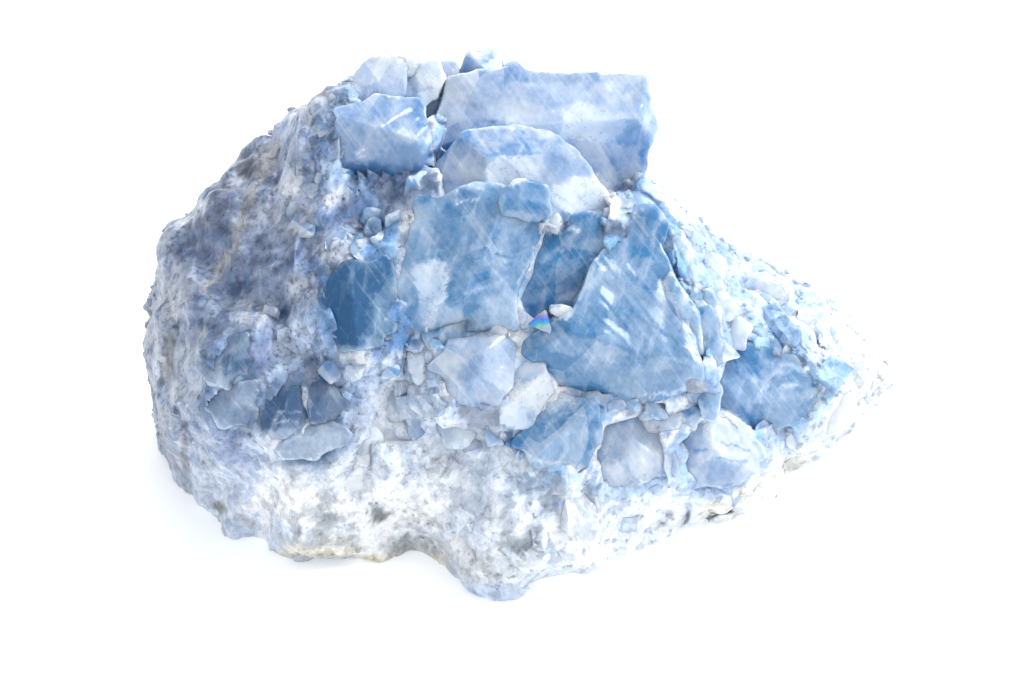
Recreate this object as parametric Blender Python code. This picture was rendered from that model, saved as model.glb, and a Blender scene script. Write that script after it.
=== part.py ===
# A celestite crystal cluster: blue blocky crystals grown together on a wedge of
# pale, granular host rock from the wall of a geode.
# +X runs along the specimen, +Y to its back, +Z up. The origin is on the flat rest face.
# Run it with: blender --background --python part.py

import math

import bmesh
import bpy
import numpy as np
from mathutils import Matrix, Vector

MM = 0.001
TINY = 1e-6

# The face that carries the crystals leans back from upright by this angle. Crystals are
# placed on it by three distances in mm: across (+X), uphill along the face, and out of it.
LEAN = math.radians(35.0)
SLOPE_AXES = Matrix(
    (
        (1.0, 0.0, 0.0),
        (0.0, math.sin(LEAN), -math.cos(LEAN)),
        (0.0, math.cos(LEAN), math.sin(LEAN)),
    )
)

# Pieces that grew against each other keep this gap, in mm, so that each is a body of its own.
SEAM = 0.3
SLIVER = 1e-7  # edges shorter than this, in m, are merged away after a cut
PLANE_SNAP = 1e-4  # points this near a cutting plane, in mm, count as on it

# Sections across the rock, in mm: station x, centre y and z, the section's reach to the
# front, back, top and underside, then how full its front slope and its back are (more than
# 2 is boxy, 2 is round, 1 is a straight slope and less than 1 a hollow one).
ROCK_SECTIONS = (
    (-42.4, 6.0, 11.0, 0.0, 0.0, 0.0, 0.0, 1.9, 2.2),
    (-41.8, 6.0, 11.0, 5.5, 4.5, 7.5, 7.0, 1.9, 2.2),
    (-40.0, 5.5, 11.0, 10.0, 8.0, 14.0, 15.0, 1.8, 2.2),
    (-36.5, 5.0, 10.5, 16.0, 11.0, 19.5, 18.0, 1.7, 2.2),
    (-31.0, 4.5, 9.5, 21.0, 14.0, 25.0, 20.0, 1.5, 2.2),
    (-25.0, 3.5, 9.0, 24.5, 17.0, 32.0, 22.0, 1.45, 2.4),
    (-19.0, 3.0, 9.0, 24.0, 19.5, 34.5, 22.0, 1.2, 2.8),
    (-13.0, 2.5, 9.0, 23.5, 21.0, 32.0, 22.0, 1.1, 3.4),
    (-7.0, 2.0, 9.0, 24.8, 22.0, 29.5, 22.0, 0.95, 4.0),
    (-3.5, 2.0, 9.0, 29.0, 22.0, 28.5, 22.0, 0.9, 4.1),
    (-1.0, 2.0, 9.0, 30.0, 22.0, 28.0, 22.0, 0.9, 4.2),
    (6.0, 2.0, 9.0, 27.5, 22.0, 27.5, 22.0, 0.9, 4.2),
    (12.0, 2.5, 9.0, 21.5, 20.0, 23.5, 21.0, 1.0, 2.6),
    (18.0, 2.8, 8.5, 16.5, 18.5, 18.5, 20.0, 1.2, 2.2),
    (25.0, 3.5, 8.0, 13.5, 16.5, 12.8, 16.0, 1.4, 2.2),
    (31.0, 4.0, 8.5, 8.5, 13.0, 9.0, 12.0, 1.7, 2.2),
    (36.0, 4.5, 8.8, 6.0, 7.5, 5.0, 6.0, 2.0, 2.2),
    (39.5, 5.0, 8.0, 3.5, 3.5, 3.0, 3.2, 2.0, 2.2),
    (42.2, 5.0, 7.0, 0.0, 0.0, 0.0, 0.0, 2.0, 2.2),
)
UNDER_FULLNESS = 2.2
ROCK_STATIONS = 36
ROCK_POINTS_ROUND = 44

# The rock's lumps stand away from a core line of this share of its length and fade out over
# this many mm at its ends. Each has a wavelength and a height in mm.
CORE_SHARE = 0.85
END_FADE = 3.0
LUMPS = ((13.0, 1.2), (6.5, 0.8))
LUMP_WAVES = 14  # cosine waves that add up to one kind of lump

# A crystal starts as a cube of this size, in mm, before its faces are cut.
BLANK = 120.0

# Each crystal, in mm on the slope: the corners of its end as (across, uphill), how far out
# the end stands, how far it reaches back into the rock, the drift of its growth across and
# uphill for each mm outwards, and the flat faces of its end. A face is given by its tilt to
# the right and uphill in degrees and by a spot (across, uphill) where it is at full height.
CLUSTERS = {
    "back_crystals": {
        "slab": dict(
            corners=((-11, 33), (-8, 43), (-2.5, 44), (13.6, 42.6), (14.8, 37), (13, 29.5),
                     (1.5, 28), (-9.5, 29)),
            out=17.0, depth=11.0, drift=(0.05, -0.05),
            faces=((2, 18, 2, 37.5), (6, -36, 2, 37), (50, 2, 12.2, 37), (-28, 6, -5, 37)),
        ),
        "knob": dict(
            corners=((-7.2, 43), (-5, 45.6), (-3, 45.2), (-2.3, 42), (-3, 37), (-7, 37)),
            out=13.5, depth=9.0, drift=(0.0, 0.05),
            faces=((20, 30, -4.5, 43.5), (-25, -6, -5, 43.5)),
        ),
        "shoulder": dict(
            corners=((-13.5, 40), (-11.5, 43.8), (-7.5, 43.6), (-6.5, 38), (-12, 36)),
            out=14.0, depth=10.0, drift=(0.0, 0.05),
            faces=((-18, 25, -10, 41), (16, -20, -10, 41)),
        ),
    },
    "upper_left_crystals": {
        "block": dict(
            corners=((-21, 37), (-16.5, 40.5), (-11, 40), (-10.6, 35.5), (-13, 31), (-20.5, 31.5)),
            out=25.5, depth=14.0, drift=(0.05, 0.1),
            faces=((12, 34, -16, 36.5), (-8, -28, -16, 36.5), (42, 0, -12, 36)),
        ),
        "cap": dict(
            corners=((-20, 41.5), (-17.2, 44.8), (-14, 44.6), (-13.2, 40), (-18, 38)),
            out=20.5, depth=10.0, drift=(0.0, 0.1),
            faces=((-14, 32, -16, 42), (15, -15, -16, 42)),
        ),
    },
    "crown_crystal": {
        "crown": dict(
            corners=((-10, 32.5), (-6, 36.8), (-0.5, 37.3), (4, 36), (9, 30.2), (10.6, 27.4),
                     (4, 25), (-9.5, 26.5)),
            out=25.5, depth=14.0, drift=(0.05, 0.15),
            faces=((2, 44, 0, 33.5), (4, 4, 0, 33.5), (30, -8, 4, 31), (-34, 6, -5, 31)),
        ),
    },
    "main_crystals": {
        "block": dict(
            corners=((-14, 21.5), (-11.3, 28), (-5.5, 30.3), (1.5, 29.7), (2.4, 26), (-0.3, 20),
                     (-1, 15), (-8, 13.8), (-13, 15)),
            out=28.5, depth=16.0, drift=(0.05, 0.0),
            faces=((-9, 8, -6, 22), (12, -2, -4, 22), (-2, -26, -5, 17), (4, 40, -4, 28.2)),
        ),
        "step": dict(
            corners=((-2.8, 28.4), (-1, 30.6), (2.6, 30.2), (2.9, 27), (1, 26.4), (-2.5, 27)),
            out=29.0, depth=8.0, drift=(0.0, 0.0),
            faces=((6, 10, 0, 28.5), (0, -24, 0, 27.8)),
        ),
        "wedge": dict(
            corners=((8, 22.5), (13, 27), (15.6, 23), (19.4, 10), (12.5, 6.4), (3.5, 8),
                     (-0.5, 13), (5.2, 16.5)),
            out=29.5, depth=18.0, drift=(0.05, 0.05),
            faces=((8, 18, 12.3, 12.2), (-9.5, -36, 12.3, 12.2), (-34, 4, 4.5, 14.5),
                   (46, 10, 17.4, 13)),
        ),
        "recess": dict(
            corners=((-1.2, 17), (1.8, 26.2), (8.2, 27.6), (9.7, 23), (6.5, 16), (0.5, 14.5)),
            out=25.5, depth=12.0, drift=(0.0, 0.0),
            faces=((-12, 16, 4, 22), (6, -16, 4, 20.5)),
        ),
        "side": dict(
            corners=((12, 28.2), (15.2, 26.8), (16.6, 22), (20.6, 13), (19, 9.6), (13, 17)),
            out=23.5, depth=12.0, drift=(0.05, 0.05),
            faces=((26, 8, 16, 20), (0, 22, 16, 21)),
        ),
        "round": dict(
            corners=((-9.6, 10), (-8, 13.6), (-4.5, 14.7), (-1.5, 13), (-1.3, 8.5), (-4, 5.8),
                     (-7.5, 6.4)),
            out=28.5, depth=14.0, drift=(0.0, 0.0),
            faces=((-12, 10, -5.5, 10.5), (26, 8, -4, 10.5), (2, -30, -5, 8.5), (-6, 40, -6, 12)),
        ),
        "low_left": dict(
            corners=((-11.3, 14.4), (-8.5, 18), (-4.6, 18), (-2.7, 15), (-5, 12.6), (-9, 12)),
            out=27.5, depth=12.0, drift=(0.0, 0.0),
            faces=((-14, 24, -7, 15.5), (10, -24, -7, 15.2)),
        ),
        "frosted": dict(
            corners=((-2.7, 8.5), (-0.5, 11.8), (2.2, 11.2), (2.8, 7.5), (0.5, 3.8), (-2.2, 4.8)),
            out=27.5, depth=12.0, drift=(0.0, 0.0),
            faces=((-18, 18, 0, 8), (16, -20, 0, 8)),
        ),
    },
    "right_crystal": {
        "wedge": dict(
            corners=((19.6, 9.6), (21.5, 12.6), (25, 13.1), (30, 11.6), (33.3, 7.6), (30.5, 4),
                     (25, 2.5), (20.2, 5.5)),
            out=17.5, depth=12.0, drift=(0.1, -0.05),
            faces=((0, 22, 28, 7.1), (9.6, -32, 28, 7.1), (-30, 0, 23, 7)),
        ),
    },
    "front_crystals": {
        "right": dict(
            corners=((16, 2.3), (18, 5), (22.5, 5.6), (25.4, 3), (26, -0.8), (23, -3), (18, -2.8)),
            out=21.0, depth=12.0, drift=(0.15, -0.05),
            faces=((-24, 12, 20, 2), (22, 14, 21, 2), (4, -26, 21, 0), (0, 44, 20.5, 4)),
        ),
        "middle": dict(
            corners=((7, 1), (8, 4.6), (12.5, 5.6), (15.6, 3.6), (16.4, -1), (11.5, -3), (8, -2.5)),
            out=24.5, depth=13.0, drift=(0.05, -0.05),
            faces=((-20, 16, 11, 1.5), (20, 14, 12, 1.5), (2, -26, 11.5, 0)),
        ),
        "left": dict(
            corners=((-0.7, 2.4), (2, 7.2), (7, 6.7), (8.7, 2.5), (6.5, -0.2), (1, -0.7)),
            out=27.0, depth=13.0, drift=(0.0, -0.05),
            faces=((-16, 18, 4, 3.2), (16, -16, 4, 3.2)),
        ),
        "sliver": dict(
            corners=((12, 6.6), (15.6, 7.2), (16.6, 4), (13.2, 3.2)),
            out=25.5, depth=12.0, drift=(0.0, 0.0),
            faces=((14, 18, 14, 5), (-16, -10, 14, 5)),
        ),
    },
    "deep_crystal": {
        "deep": dict(
            corners=((-22.5, 18.5), (-20, 22.2), (-14.8, 21.5), (-14.3, 16.5), (-15.3, 12.5),
                     (-20, 12)),
            out=29.5, depth=14.0, drift=(-0.05, 0.0),
            faces=((-26, 6, -18.5, 17), (14, 10, -18.5, 17)),
        ),
    },
    "left_crystals": {
        "dark": dict(
            corners=((-28.5, 6.3), (-26.6, 9), (-24, 9.2), (-22.8, 5), (-26, 2.8), (-28, 4)),
            out=27.0, depth=11.0, drift=(-0.1, 0.0),
            faces=((-22, 16, -26, 6), (18, 4, -26, 6)),
        ),
        "beside": dict(
            corners=((-23.6, 8.5), (-21.5, 9.8), (-19.8, 7.5), (-20.8, 4.2), (-23.4, 4.2)),
            out=27.0, depth=11.0, drift=(0.0, 0.05),
            faces=((-14, 22, -22, 7), (18, -12, -22, 7)),
        ),
        "under": dict(
            corners=((-26, 2.3), (-23.5, 4.7), (-21, 5), (-19.4, 2.5), (-22.5, 0.2), (-25.6, 0.4)),
            out=27.0, depth=11.0, drift=(0.0, -0.05),
            faces=((-4, 30, -23, 2.8), (4, -24, -23, 2.8)),
        ),
    },
    "outer_left_crystals": {
        "upper": dict(
            corners=((-34.5, 11), (-32.5, 13.7), (-30, 14.2), (-28.9, 10.5), (-31.5, 8.2),
                     (-34, 8.6)),
            out=26.5, depth=11.0, drift=(-0.15, 0.0),
            faces=((-24, 20, -31.5, 11.5), (12, -4, -31.5, 11)),
        ),
        "lower": dict(
            corners=((-35.5, 6.5), (-33, 9.2), (-29, 8.7), (-29.3, 4.3), (-33, 3.8)),
            out=26.5, depth=11.0, drift=(-0.15, 0.0),
            faces=((-26, 10, -32, 6.5), (8, -14, -32, 6.5)),
        ),
    },
}

# Small crystals that crust the rock, in patches: how many, the stretch of the rock's length
# and of the turn round it (0.5 is the top and 1 the front) and the range of widths in mm.
CRUST_SEED = 11
CRUST_SUNK = 0.45  # share of a small crystal's height that is rooted in the rock
CRUST_SPREAD = 0.28  # how far their growth strays from straight out of the rock
CRUST_THICKNESS = (0.6, 0.95)  # as a share of their width
CRUST_HEIGHT = (0.8, 1.15)  # as a share of their width
ROOF_SLOPES = (0.62, -0.7)  # of the two faces of a small crystal's roof-shaped end
END_BEVEL = (0.22, 0.9)  # where on the width its third end face starts, and its slope
CORNER_CUT = 0.48  # how far from the middle its cut corner lies, as a share of the width
CRUST_PATCHES = {
    "right flank": dict(count=34, length=(0.60, 0.84), turn=(0.47, 1.0), width=(2.6, 5.0)),
    "right tip": dict(count=10, length=(0.82, 0.90), turn=(0.4, 1.1), width=(1.8, 2.8)),
    "left flank": dict(count=30, length=(0.19, 0.46), turn=(0.62, 0.98), width=(2.4, 4.4)),
    "foot": dict(count=14, length=(0.42, 0.70), turn=(0.95, 1.08), width=(2.8, 4.2)),
}


def unit(vectors):
    """The vectors, each scaled to a length of 1."""
    return vectors / np.maximum(np.linalg.norm(vectors, axis=-1, keepdims=True), TINY)


def wave_noise(points, wavelength, seed):
    """Smooth noise, about -1 to 1: the sum of cosine waves that run in random directions."""
    rng = np.random.default_rng(seed)
    way = unit(rng.normal(size=(LUMP_WAVES, 3)))
    pace = 2 * math.pi / (wavelength * rng.uniform(0.7, 1.5, LUMP_WAVES))
    phase = rng.uniform(0, 2 * math.pi, LUMP_WAVES)
    waves = np.cos(points @ (way * pace[:, None]).T + phase)
    return waves.sum(axis=1) / math.sqrt(LUMP_WAVES)


def rock_points(share, turn):
    """Points in mm on the rock, for a share of its length from 0 to 1 and a turn in radians."""
    table = np.array(ROCK_SECTIONS)
    first, last = table[0, 0], table[-1, 0]
    x = first + (last - first) * (1 - np.cos(np.pi * share)) / 2
    y0, z0, front, back, top, under, slope, rear = (
        np.interp(x, table[:, 0], table[:, k]) for k in range(1, 9)
    )
    cos, sin = np.cos(turn), np.sin(turn)
    reach_y = np.maximum(np.where(cos < 0, front, back), TINY)
    reach_z = np.maximum(np.where(sin > 0, top, under), TINY)
    full = np.where(sin > 0, np.where(cos < 0, slope, rear), UNDER_FULLNESS)
    # The turn is measured on the unit section, so a slope with sides of unlike reach is
    # still covered evenly.
    stretch = (np.abs(cos) ** full + np.abs(sin) ** full) ** (-1 / full)
    points = np.stack((x, y0 + reach_y * stretch * cos, z0 + reach_z * stretch * sin), axis=-1)
    out = unit(points - np.stack((x * CORE_SHARE, y0, z0), axis=-1))
    flat = points.reshape(-1, 3)
    bump = sum(
        height * wave_noise(flat, wavelength, seed)
        for seed, (wavelength, height) in enumerate(LUMPS)
    )
    fade = np.clip(np.minimum(x - first, last - x) / END_FADE, 0, 1)
    return points + out * (bump.reshape(x.shape) * fade)[..., None]


def new_object(name, bm, collection):
    """Puts a bmesh that was modelled in mm into a new object, in metres."""
    bmesh.ops.recalc_face_normals(bm, faces=bm.faces)
    bmesh.ops.scale(bm, vec=(MM, MM, MM), verts=bm.verts)
    mesh = bpy.data.meshes.new(name)
    bm.to_mesh(mesh)
    bm.free()
    obj = bpy.data.objects.new(name, mesh)
    collection.objects.link(obj)
    return obj


def slice_off(bm, point, normal):
    """Cuts away what lies beyond a plane and closes the cut with one flat face."""
    geometry = bm.verts[:] + bm.edges[:] + bm.faces[:]
    cut = bmesh.ops.bisect_plane(
        bm, geom=geometry, dist=PLANE_SNAP, plane_co=point, plane_no=normal, clear_outer=True
    )
    rim = [item for item in cut["geom_cut"] if isinstance(item, bmesh.types.BMEdge)]
    if rim:
        bmesh.ops.edgeloop_fill(bm, edges=rim)


def crystal(corners, out, depth, drift, faces, grow=0.0):
    """A crystal in mm: a cube cut down by its side faces, its root and its end faces. All of
    them stand further out by the distance grow."""
    corners = [Vector((across, uphill, out)) for across, uphill in corners]
    centre = sum(corners, Vector()) / len(corners)
    growth = Vector((drift[0], drift[1], 1.0)).normalized()
    bm = bmesh.new()
    bmesh.ops.create_cube(bm, size=BLANK, matrix=Matrix.Translation(centre))
    for here, there in zip(corners, corners[1:] + corners[:1]):
        normal = (there - here).cross(growth).normalized()
        if normal.dot(here - centre) < 0:
            normal.negate()
        slice_off(bm, here + normal * grow, normal)
    for right, up, across, uphill in faces:
        normal = Vector((math.tan(math.radians(right)), math.tan(math.radians(up)), 1.0))
        normal.normalize()
        slice_off(bm, Vector((across, uphill, out)) + normal * grow, normal)
    slice_off(bm, centre - growth * (depth + grow), -growth)
    bmesh.ops.transform(bm, matrix=SLOPE_AXES.to_4x4(), verts=bm.verts)
    return bm


def crust_places():
    """The small crystals on the rock: for each, where it stands, which way it grows, which
    way its broad side faces, and its width, thickness and height in mm."""
    rng = np.random.default_rng(CRUST_SEED)
    places = []
    step = 1e-3
    for patch in CRUST_PATCHES.values():
        count = patch["count"]
        share = rng.uniform(*patch["length"], count)
        turn = rng.uniform(*patch["turn"], count) * math.pi
        spot = rock_points(share, turn)
        along = rock_points(share + step, turn) - spot
        around = rock_points(share, turn + step) - spot
        normal = unit(np.cross(around, along))
        growth = unit(normal + rng.normal(scale=CRUST_SPREAD, size=(count, 3)))
        side = unit(np.cross(growth, rng.normal(size=(count, 3))))
        width = rng.uniform(*patch["width"], count)
        thick = width * rng.uniform(*CRUST_THICKNESS, count)
        height = width * rng.uniform(*CRUST_HEIGHT, count)
        places += [
            (Vector(p), Vector(g), Vector(s), w, t, h)
            for p, g, s, w, t, h in zip(spot, growth, side, width, thick, height)
        ]
    return places


def crust_crystal(spot, growth, side, width, thick, height):
    """A small blocky crystal with a roof-shaped end and one cut corner."""
    across = growth.cross(side)
    root = spot - growth * height * CRUST_SUNK
    bm = bmesh.new()
    bmesh.ops.create_cube(bm, size=1.0)
    frame = Matrix((side * width, across * thick, growth * height * 2)).transposed().to_4x4()
    frame.translation = root
    bmesh.ops.transform(bm, matrix=frame, verts=bm.verts)
    peak = root + growth * height
    for slope in ROOF_SLOPES:
        slice_off(bm, peak, growth + across * slope)
    start, slope = END_BEVEL
    slice_off(bm, peak + side * width * start, growth + side * slope)
    corner = (side + across).normalized()
    slice_off(bm, root + corner * width * CORNER_CUT, corner)
    return bm


def material(name, colour, roughness, see_through=0.0):
    made = bpy.data.materials.new(name)
    made.use_nodes = True
    shader = made.node_tree.nodes["Principled BSDF"]
    shader.inputs["Base Color"].default_value = (*colour, 1.0)
    shader.inputs["Roughness"].default_value = roughness
    shader.inputs["Metallic"].default_value = 0.0
    shader.inputs["Transmission Weight"].default_value = see_through
    made.diffuse_color = (*colour, 1.0)
    return made


def largest_body(bm):
    """The vertices of the largest body in a mesh."""
    left, bodies = set(bm.verts), []
    while left:
        start = left.pop()
        body, edge = {start}, [start]
        while edge:
            for link in edge.pop().link_edges:
                near = set(link.verts) - body
                body |= near
                edge.extend(near)
        left -= body
        bodies.append(body)
    return max(bodies, key=len)


def boolean(obj, operation, other):
    """Joins a collection of helpers to the object, or cuts one helper from it. The result
    is applied, without the chips that a cut leaves loose."""
    modifier = obj.modifiers.new(operation.title(), "BOOLEAN")
    modifier.operation = operation
    modifier.solver = "EXACT"
    if isinstance(other, bpy.types.Collection):
        modifier.operand_type = "COLLECTION"
        modifier.collection = other
        modifier.use_self = True
    else:
        modifier.object = other
    graph = bpy.context.evaluated_depsgraph_get()
    mesh = bpy.data.meshes.new_from_object(obj.evaluated_get(graph))
    obj.modifiers.clear()
    old, obj.data = obj.data, mesh
    bpy.data.meshes.remove(old)
    bm = bmesh.new()
    bm.from_mesh(mesh)
    keep = largest_body(bm)
    bmesh.ops.delete(bm, geom=[v for v in bm.verts if v not in keep], context="VERTS")
    bmesh.ops.dissolve_degenerate(bm, dist=SLIVER, edges=bm.edges)
    bmesh.ops.triangulate(bm, faces=[face for face in bm.faces if len(face.verts) > 4])
    bm.to_mesh(mesh)
    bm.free()


def child_collection(name, parent):
    made = bpy.data.collections.new(name)
    parent.children.link(made)
    return made


def helper(name, bm, collection):
    obj = new_object(name, bm, collection)
    obj.hide_render = True
    obj.display_type = "WIRE"
    return obj


def build_rock(parts, helpers, sockets):
    """The host rock: a loft along X with lumps, small crystals grown from it, a flat foot."""
    share = np.linspace(0, 1, ROCK_STATIONS + 2)[1:-1]
    turn = np.arange(ROCK_POINTS_ROUND) * 2 * math.pi / ROCK_POINTS_ROUND
    grid = rock_points(*np.meshgrid(share, turn, indexing="ij"))
    tips = rock_points(np.array((0.0, 1.0)), np.zeros(2))
    bm = bmesh.new()
    rings = [[bm.verts.new(point) for point in ring] for ring in grid]
    first, last = (bm.verts.new(tip) for tip in tips)
    for k in range(ROCK_POINTS_ROUND):
        after = (k + 1) % ROCK_POINTS_ROUND
        for here, there in zip(rings, rings[1:]):
            bm.faces.new((here[k], here[after], there[after], there[k]))
        bm.faces.new((first, rings[0][after], rings[0][k]))
        bm.faces.new((last, rings[-1][k], rings[-1][after]))
    slice_off(bm, Vector(), Vector((0, 0, -1)))
    rock = new_object("matrix", bm, parts)
    crust = child_collection("crust", helpers)
    for number, place in enumerate(crust_places()):
        helper(f"crust_{number:03d}", crust_crystal(*place), crust)
    boolean(rock, "UNION", crust)
    bm = bmesh.new()
    bmesh.ops.create_cube(bm, size=BLANK, matrix=Matrix.Translation((0, 0, -BLANK / 2)))
    for cutter in [helper("below_the_foot", bm, helpers), *sockets]:
        boolean(rock, "DIFFERENCE", cutter)
    return rock


def grown_together(name, crystals, collection, helpers, grow=0.0):
    """Crystals that overlap, joined in one solid."""
    specs = list(crystals.items())
    first = new_object(name, crystal(**specs[0][1], grow=grow), collection)
    if len(specs) > 1:
        others = child_collection(name + "_joined", helpers)
        for label, spec in specs[1:]:
            helper(f"{name}_{label}", crystal(**spec, grow=grow), others)
        boolean(first, "UNION", others)
    return first


def build_clusters(parts, helpers):
    """The clusters, each cut by those before it, and a slightly larger cutter for each."""
    made, sockets = [], []
    for name, crystals in CLUSTERS.items():
        obj = grown_together(name, crystals, parts, helpers)
        for earlier in sockets:
            boolean(obj, "DIFFERENCE", earlier)
        made.append(obj)
        socket = grown_together(name + "_socket", crystals, helpers, helpers, grow=SEAM)
        socket.hide_render = True
        socket.display_type = "WIRE"
        sockets.append(socket)
    return made, sockets


def main():
    for obj in list(bpy.data.objects):
        bpy.data.objects.remove(obj, do_unlink=True)
    scene = bpy.context.scene.collection
    parts = child_collection("celestite_cluster", scene)
    helpers = child_collection("cutters", scene)
    helpers.hide_render = True
    stone = material("geode rock", (0.76, 0.79, 0.86), 0.75)
    blue = material("blue celestite", (0.30, 0.45, 0.70), 0.12, see_through=0.8)
    pale = material("pale celestite", (0.62, 0.70, 0.86), 0.18, see_through=0.6)
    deep = material("deep blue celestite", (0.12, 0.26, 0.48), 0.12, see_through=0.8)
    finish = {
        "back_crystals": pale, "upper_left_crystals": pale, "crown_crystal": pale,
        "front_crystals": pale, "deep_crystal": deep, "left_crystals": deep,
    }
    clusters, sockets = build_clusters(parts, helpers)
    for obj in clusters:
        obj.data.materials.append(finish.get(obj.name, blue))
    rock = build_rock(parts, helpers, sockets)
    rock.data.materials.append(stone)


main()
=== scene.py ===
# Celestite crystal cluster: the looks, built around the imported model.
# Shapes are worked out in millimetres and put into meshes in metres, +X along the specimen, +Z up.

import math

import bpy
import numpy as np
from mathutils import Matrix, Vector


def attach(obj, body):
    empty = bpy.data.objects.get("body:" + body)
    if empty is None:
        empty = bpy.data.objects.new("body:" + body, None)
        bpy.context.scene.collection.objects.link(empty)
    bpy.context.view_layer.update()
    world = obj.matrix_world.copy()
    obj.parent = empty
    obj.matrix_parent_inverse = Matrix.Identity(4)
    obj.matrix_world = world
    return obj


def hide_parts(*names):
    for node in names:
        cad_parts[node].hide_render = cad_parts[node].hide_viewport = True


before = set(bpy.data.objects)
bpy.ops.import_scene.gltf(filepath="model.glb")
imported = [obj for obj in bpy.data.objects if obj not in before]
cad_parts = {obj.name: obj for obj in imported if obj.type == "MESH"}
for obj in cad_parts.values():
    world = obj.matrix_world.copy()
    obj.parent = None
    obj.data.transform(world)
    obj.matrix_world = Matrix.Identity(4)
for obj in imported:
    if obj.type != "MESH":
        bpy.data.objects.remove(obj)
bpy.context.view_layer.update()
print("frame loaded:", sorted(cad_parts))

mm = 0.001
tiny = 1e-6
farAway = 50.0  # mm, for a place that no large crystal is near
smallStep = 1e-3  # share of the rock's length, or angle round it, over which its slope is measured

# The face that carries the crystals leans back by this many degrees. A place on it is
# (across, uphill, out) in mm: along +X, up the face, and out of it.
lean = math.radians(35.0)
slopeAxes = np.array([
    [1.0, 0.0, 0.0],
    [0.0, math.sin(lean), math.cos(lean)],
    [0.0, -math.cos(lean), math.sin(lean)],
])

studio = {
    "target": (-1.4, -2.25, 17.7),  # mm, the middle of the picture
    "distance": 600.0,  # mm
    "lens": 189.8,  # mm
    "film": 36.0,  # mm wide
    "picture": (1024, 683),  # pixels
    "floorColour": "#F7F9FB",
    "floorGrain": 333.3333,  # mm
    "floorRoughness": (0.75, 0.85),
    "floorGlow": 0.35,
    "floorHalf": 3000.0,  # mm
    "floorLevel": -0.02,  # mm
    "roomColour": (0.97, 0.985, 1.0),
    "sky": 0.8,
    "skyLift": (0.28, -0.1, 0.06),  # how much brighter the room is to the right, back and top
    "lampAim": (0.0, 0.0, 15.0),  # mm
    "lamps": {  # place in mm, side of the square in mm, power in watts
        "key softbox": ((320.0, 60.0, 420.0), 300.0, 2.4),
        "back softbox": ((-60.0, 420.0, 300.0), 300.0, 1.0),
    },
}


def toWorld(places):
    # (across, uphill, out) to (x, y, z): each distance times its axis, summed.
    return places @ slopeAxes


def toSlope(points):
    # The reverse: the part of each point that lies along each axis.
    return points @ slopeAxes.T


def toPicture(points):
    # Where the camera sees points, in pixels: its focal length times the offset over the distance.
    off = toSlope(points - np.array(studio["target"]))
    wide, high = studio["picture"]
    scale = studio["lens"] / studio["film"] * wide / (studio["distance"] - off[:, 2])
    return np.stack((wide / 2 + scale * off[:, 0], high / 2 - scale * off[:, 1]), axis=1)


def unit(vectors):
    return vectors / np.maximum(np.linalg.norm(vectors, axis=-1, keepdims=True), tiny)


def smoothStep(low, high, values):
    # 0 below low, 1 above high and 3t^2 - 2t^3 in between.
    t = np.clip((values - low) / (high - low), 0.0, 1.0)
    return t * t * (3 - 2 * t)


def linear(hexColour):
    # An sRGB hex value as linear red, green and blue.
    srgb = np.array([int(hexColour[k:k + 2], 16) for k in (1, 3, 5)]) / 255.0
    return np.where(srgb <= 0.04045, srgb / 12.92, ((srgb + 0.055) / 1.055) ** 2.4)


def waveNoise(points, wavelength, seed, waves=14):
    # The sum of cosine waves that run in random directions, about -1 to 1.
    rng = np.random.default_rng(seed)
    way = unit(rng.normal(size=(waves, 3)))
    pace = 2 * math.pi / (wavelength * rng.uniform(0.7, 1.5, waves))
    phase = rng.uniform(0, 2 * math.pi, waves)
    return np.cos(points @ (way * pace[:, None]).T + phase).sum(axis=-1) / math.sqrt(waves)


def cellRandom(cell, salt):
    # A number from 0 to 1 for each whole-numbered cell, mixed from its three numbers.
    cell = cell.astype(np.int64)
    mixed = (cell[..., 0] * 73856093) ^ (cell[..., 1] * 19349663) ^ (cell[..., 2] * 83492791)
    mixed = (mixed ^ (salt * 2654435761)) & 0x7FFFFFFF
    mixed = ((mixed ^ (mixed >> 13)) * 1274126177) & 0x7FFFFFFF
    mixed = ((mixed ^ (mixed >> 16)) * 668265263) & 0x7FFFFFFF
    return (mixed ^ (mixed >> 15)) / 0x7FFFFFFF


def druseRelief(points, size, seed):
    # Intergrown blocks: each scattered cell centre carries a turned cube, whose distance from a
    # point is the largest of the three along its own axes. The surface is the highest block.
    # Gives heights from about -0.6 to 0.5 and a tone from 0 to 1 for each block.
    spot = points / size
    home = np.floor(spot)
    height = np.full(len(points), -np.inf)
    tone = np.zeros(len(points))
    for shift in np.ndindex(3, 3, 3):
        cell = home + np.array(shift) - 1
        roll = np.stack([cellRandom(cell, seed + k) for k in range(11)], axis=-1)
        away = spot - cell - roll[:, :3]
        first = unit(roll[:, 3:6] - 0.5)
        second = unit(np.cross(first, roll[:, 6:9] - 0.5))
        third = np.cross(first, second)
        far = np.stack([np.abs((away * way).sum(axis=-1)) for way in (first, second, third)]).max(axis=0)
        own = 0.4 * roll[:, 9] - far
        higher = own > height
        height[higher] = own[higher]
        tone[higher] = roll[higher, 10]
    return height + 0.15, tone


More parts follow.
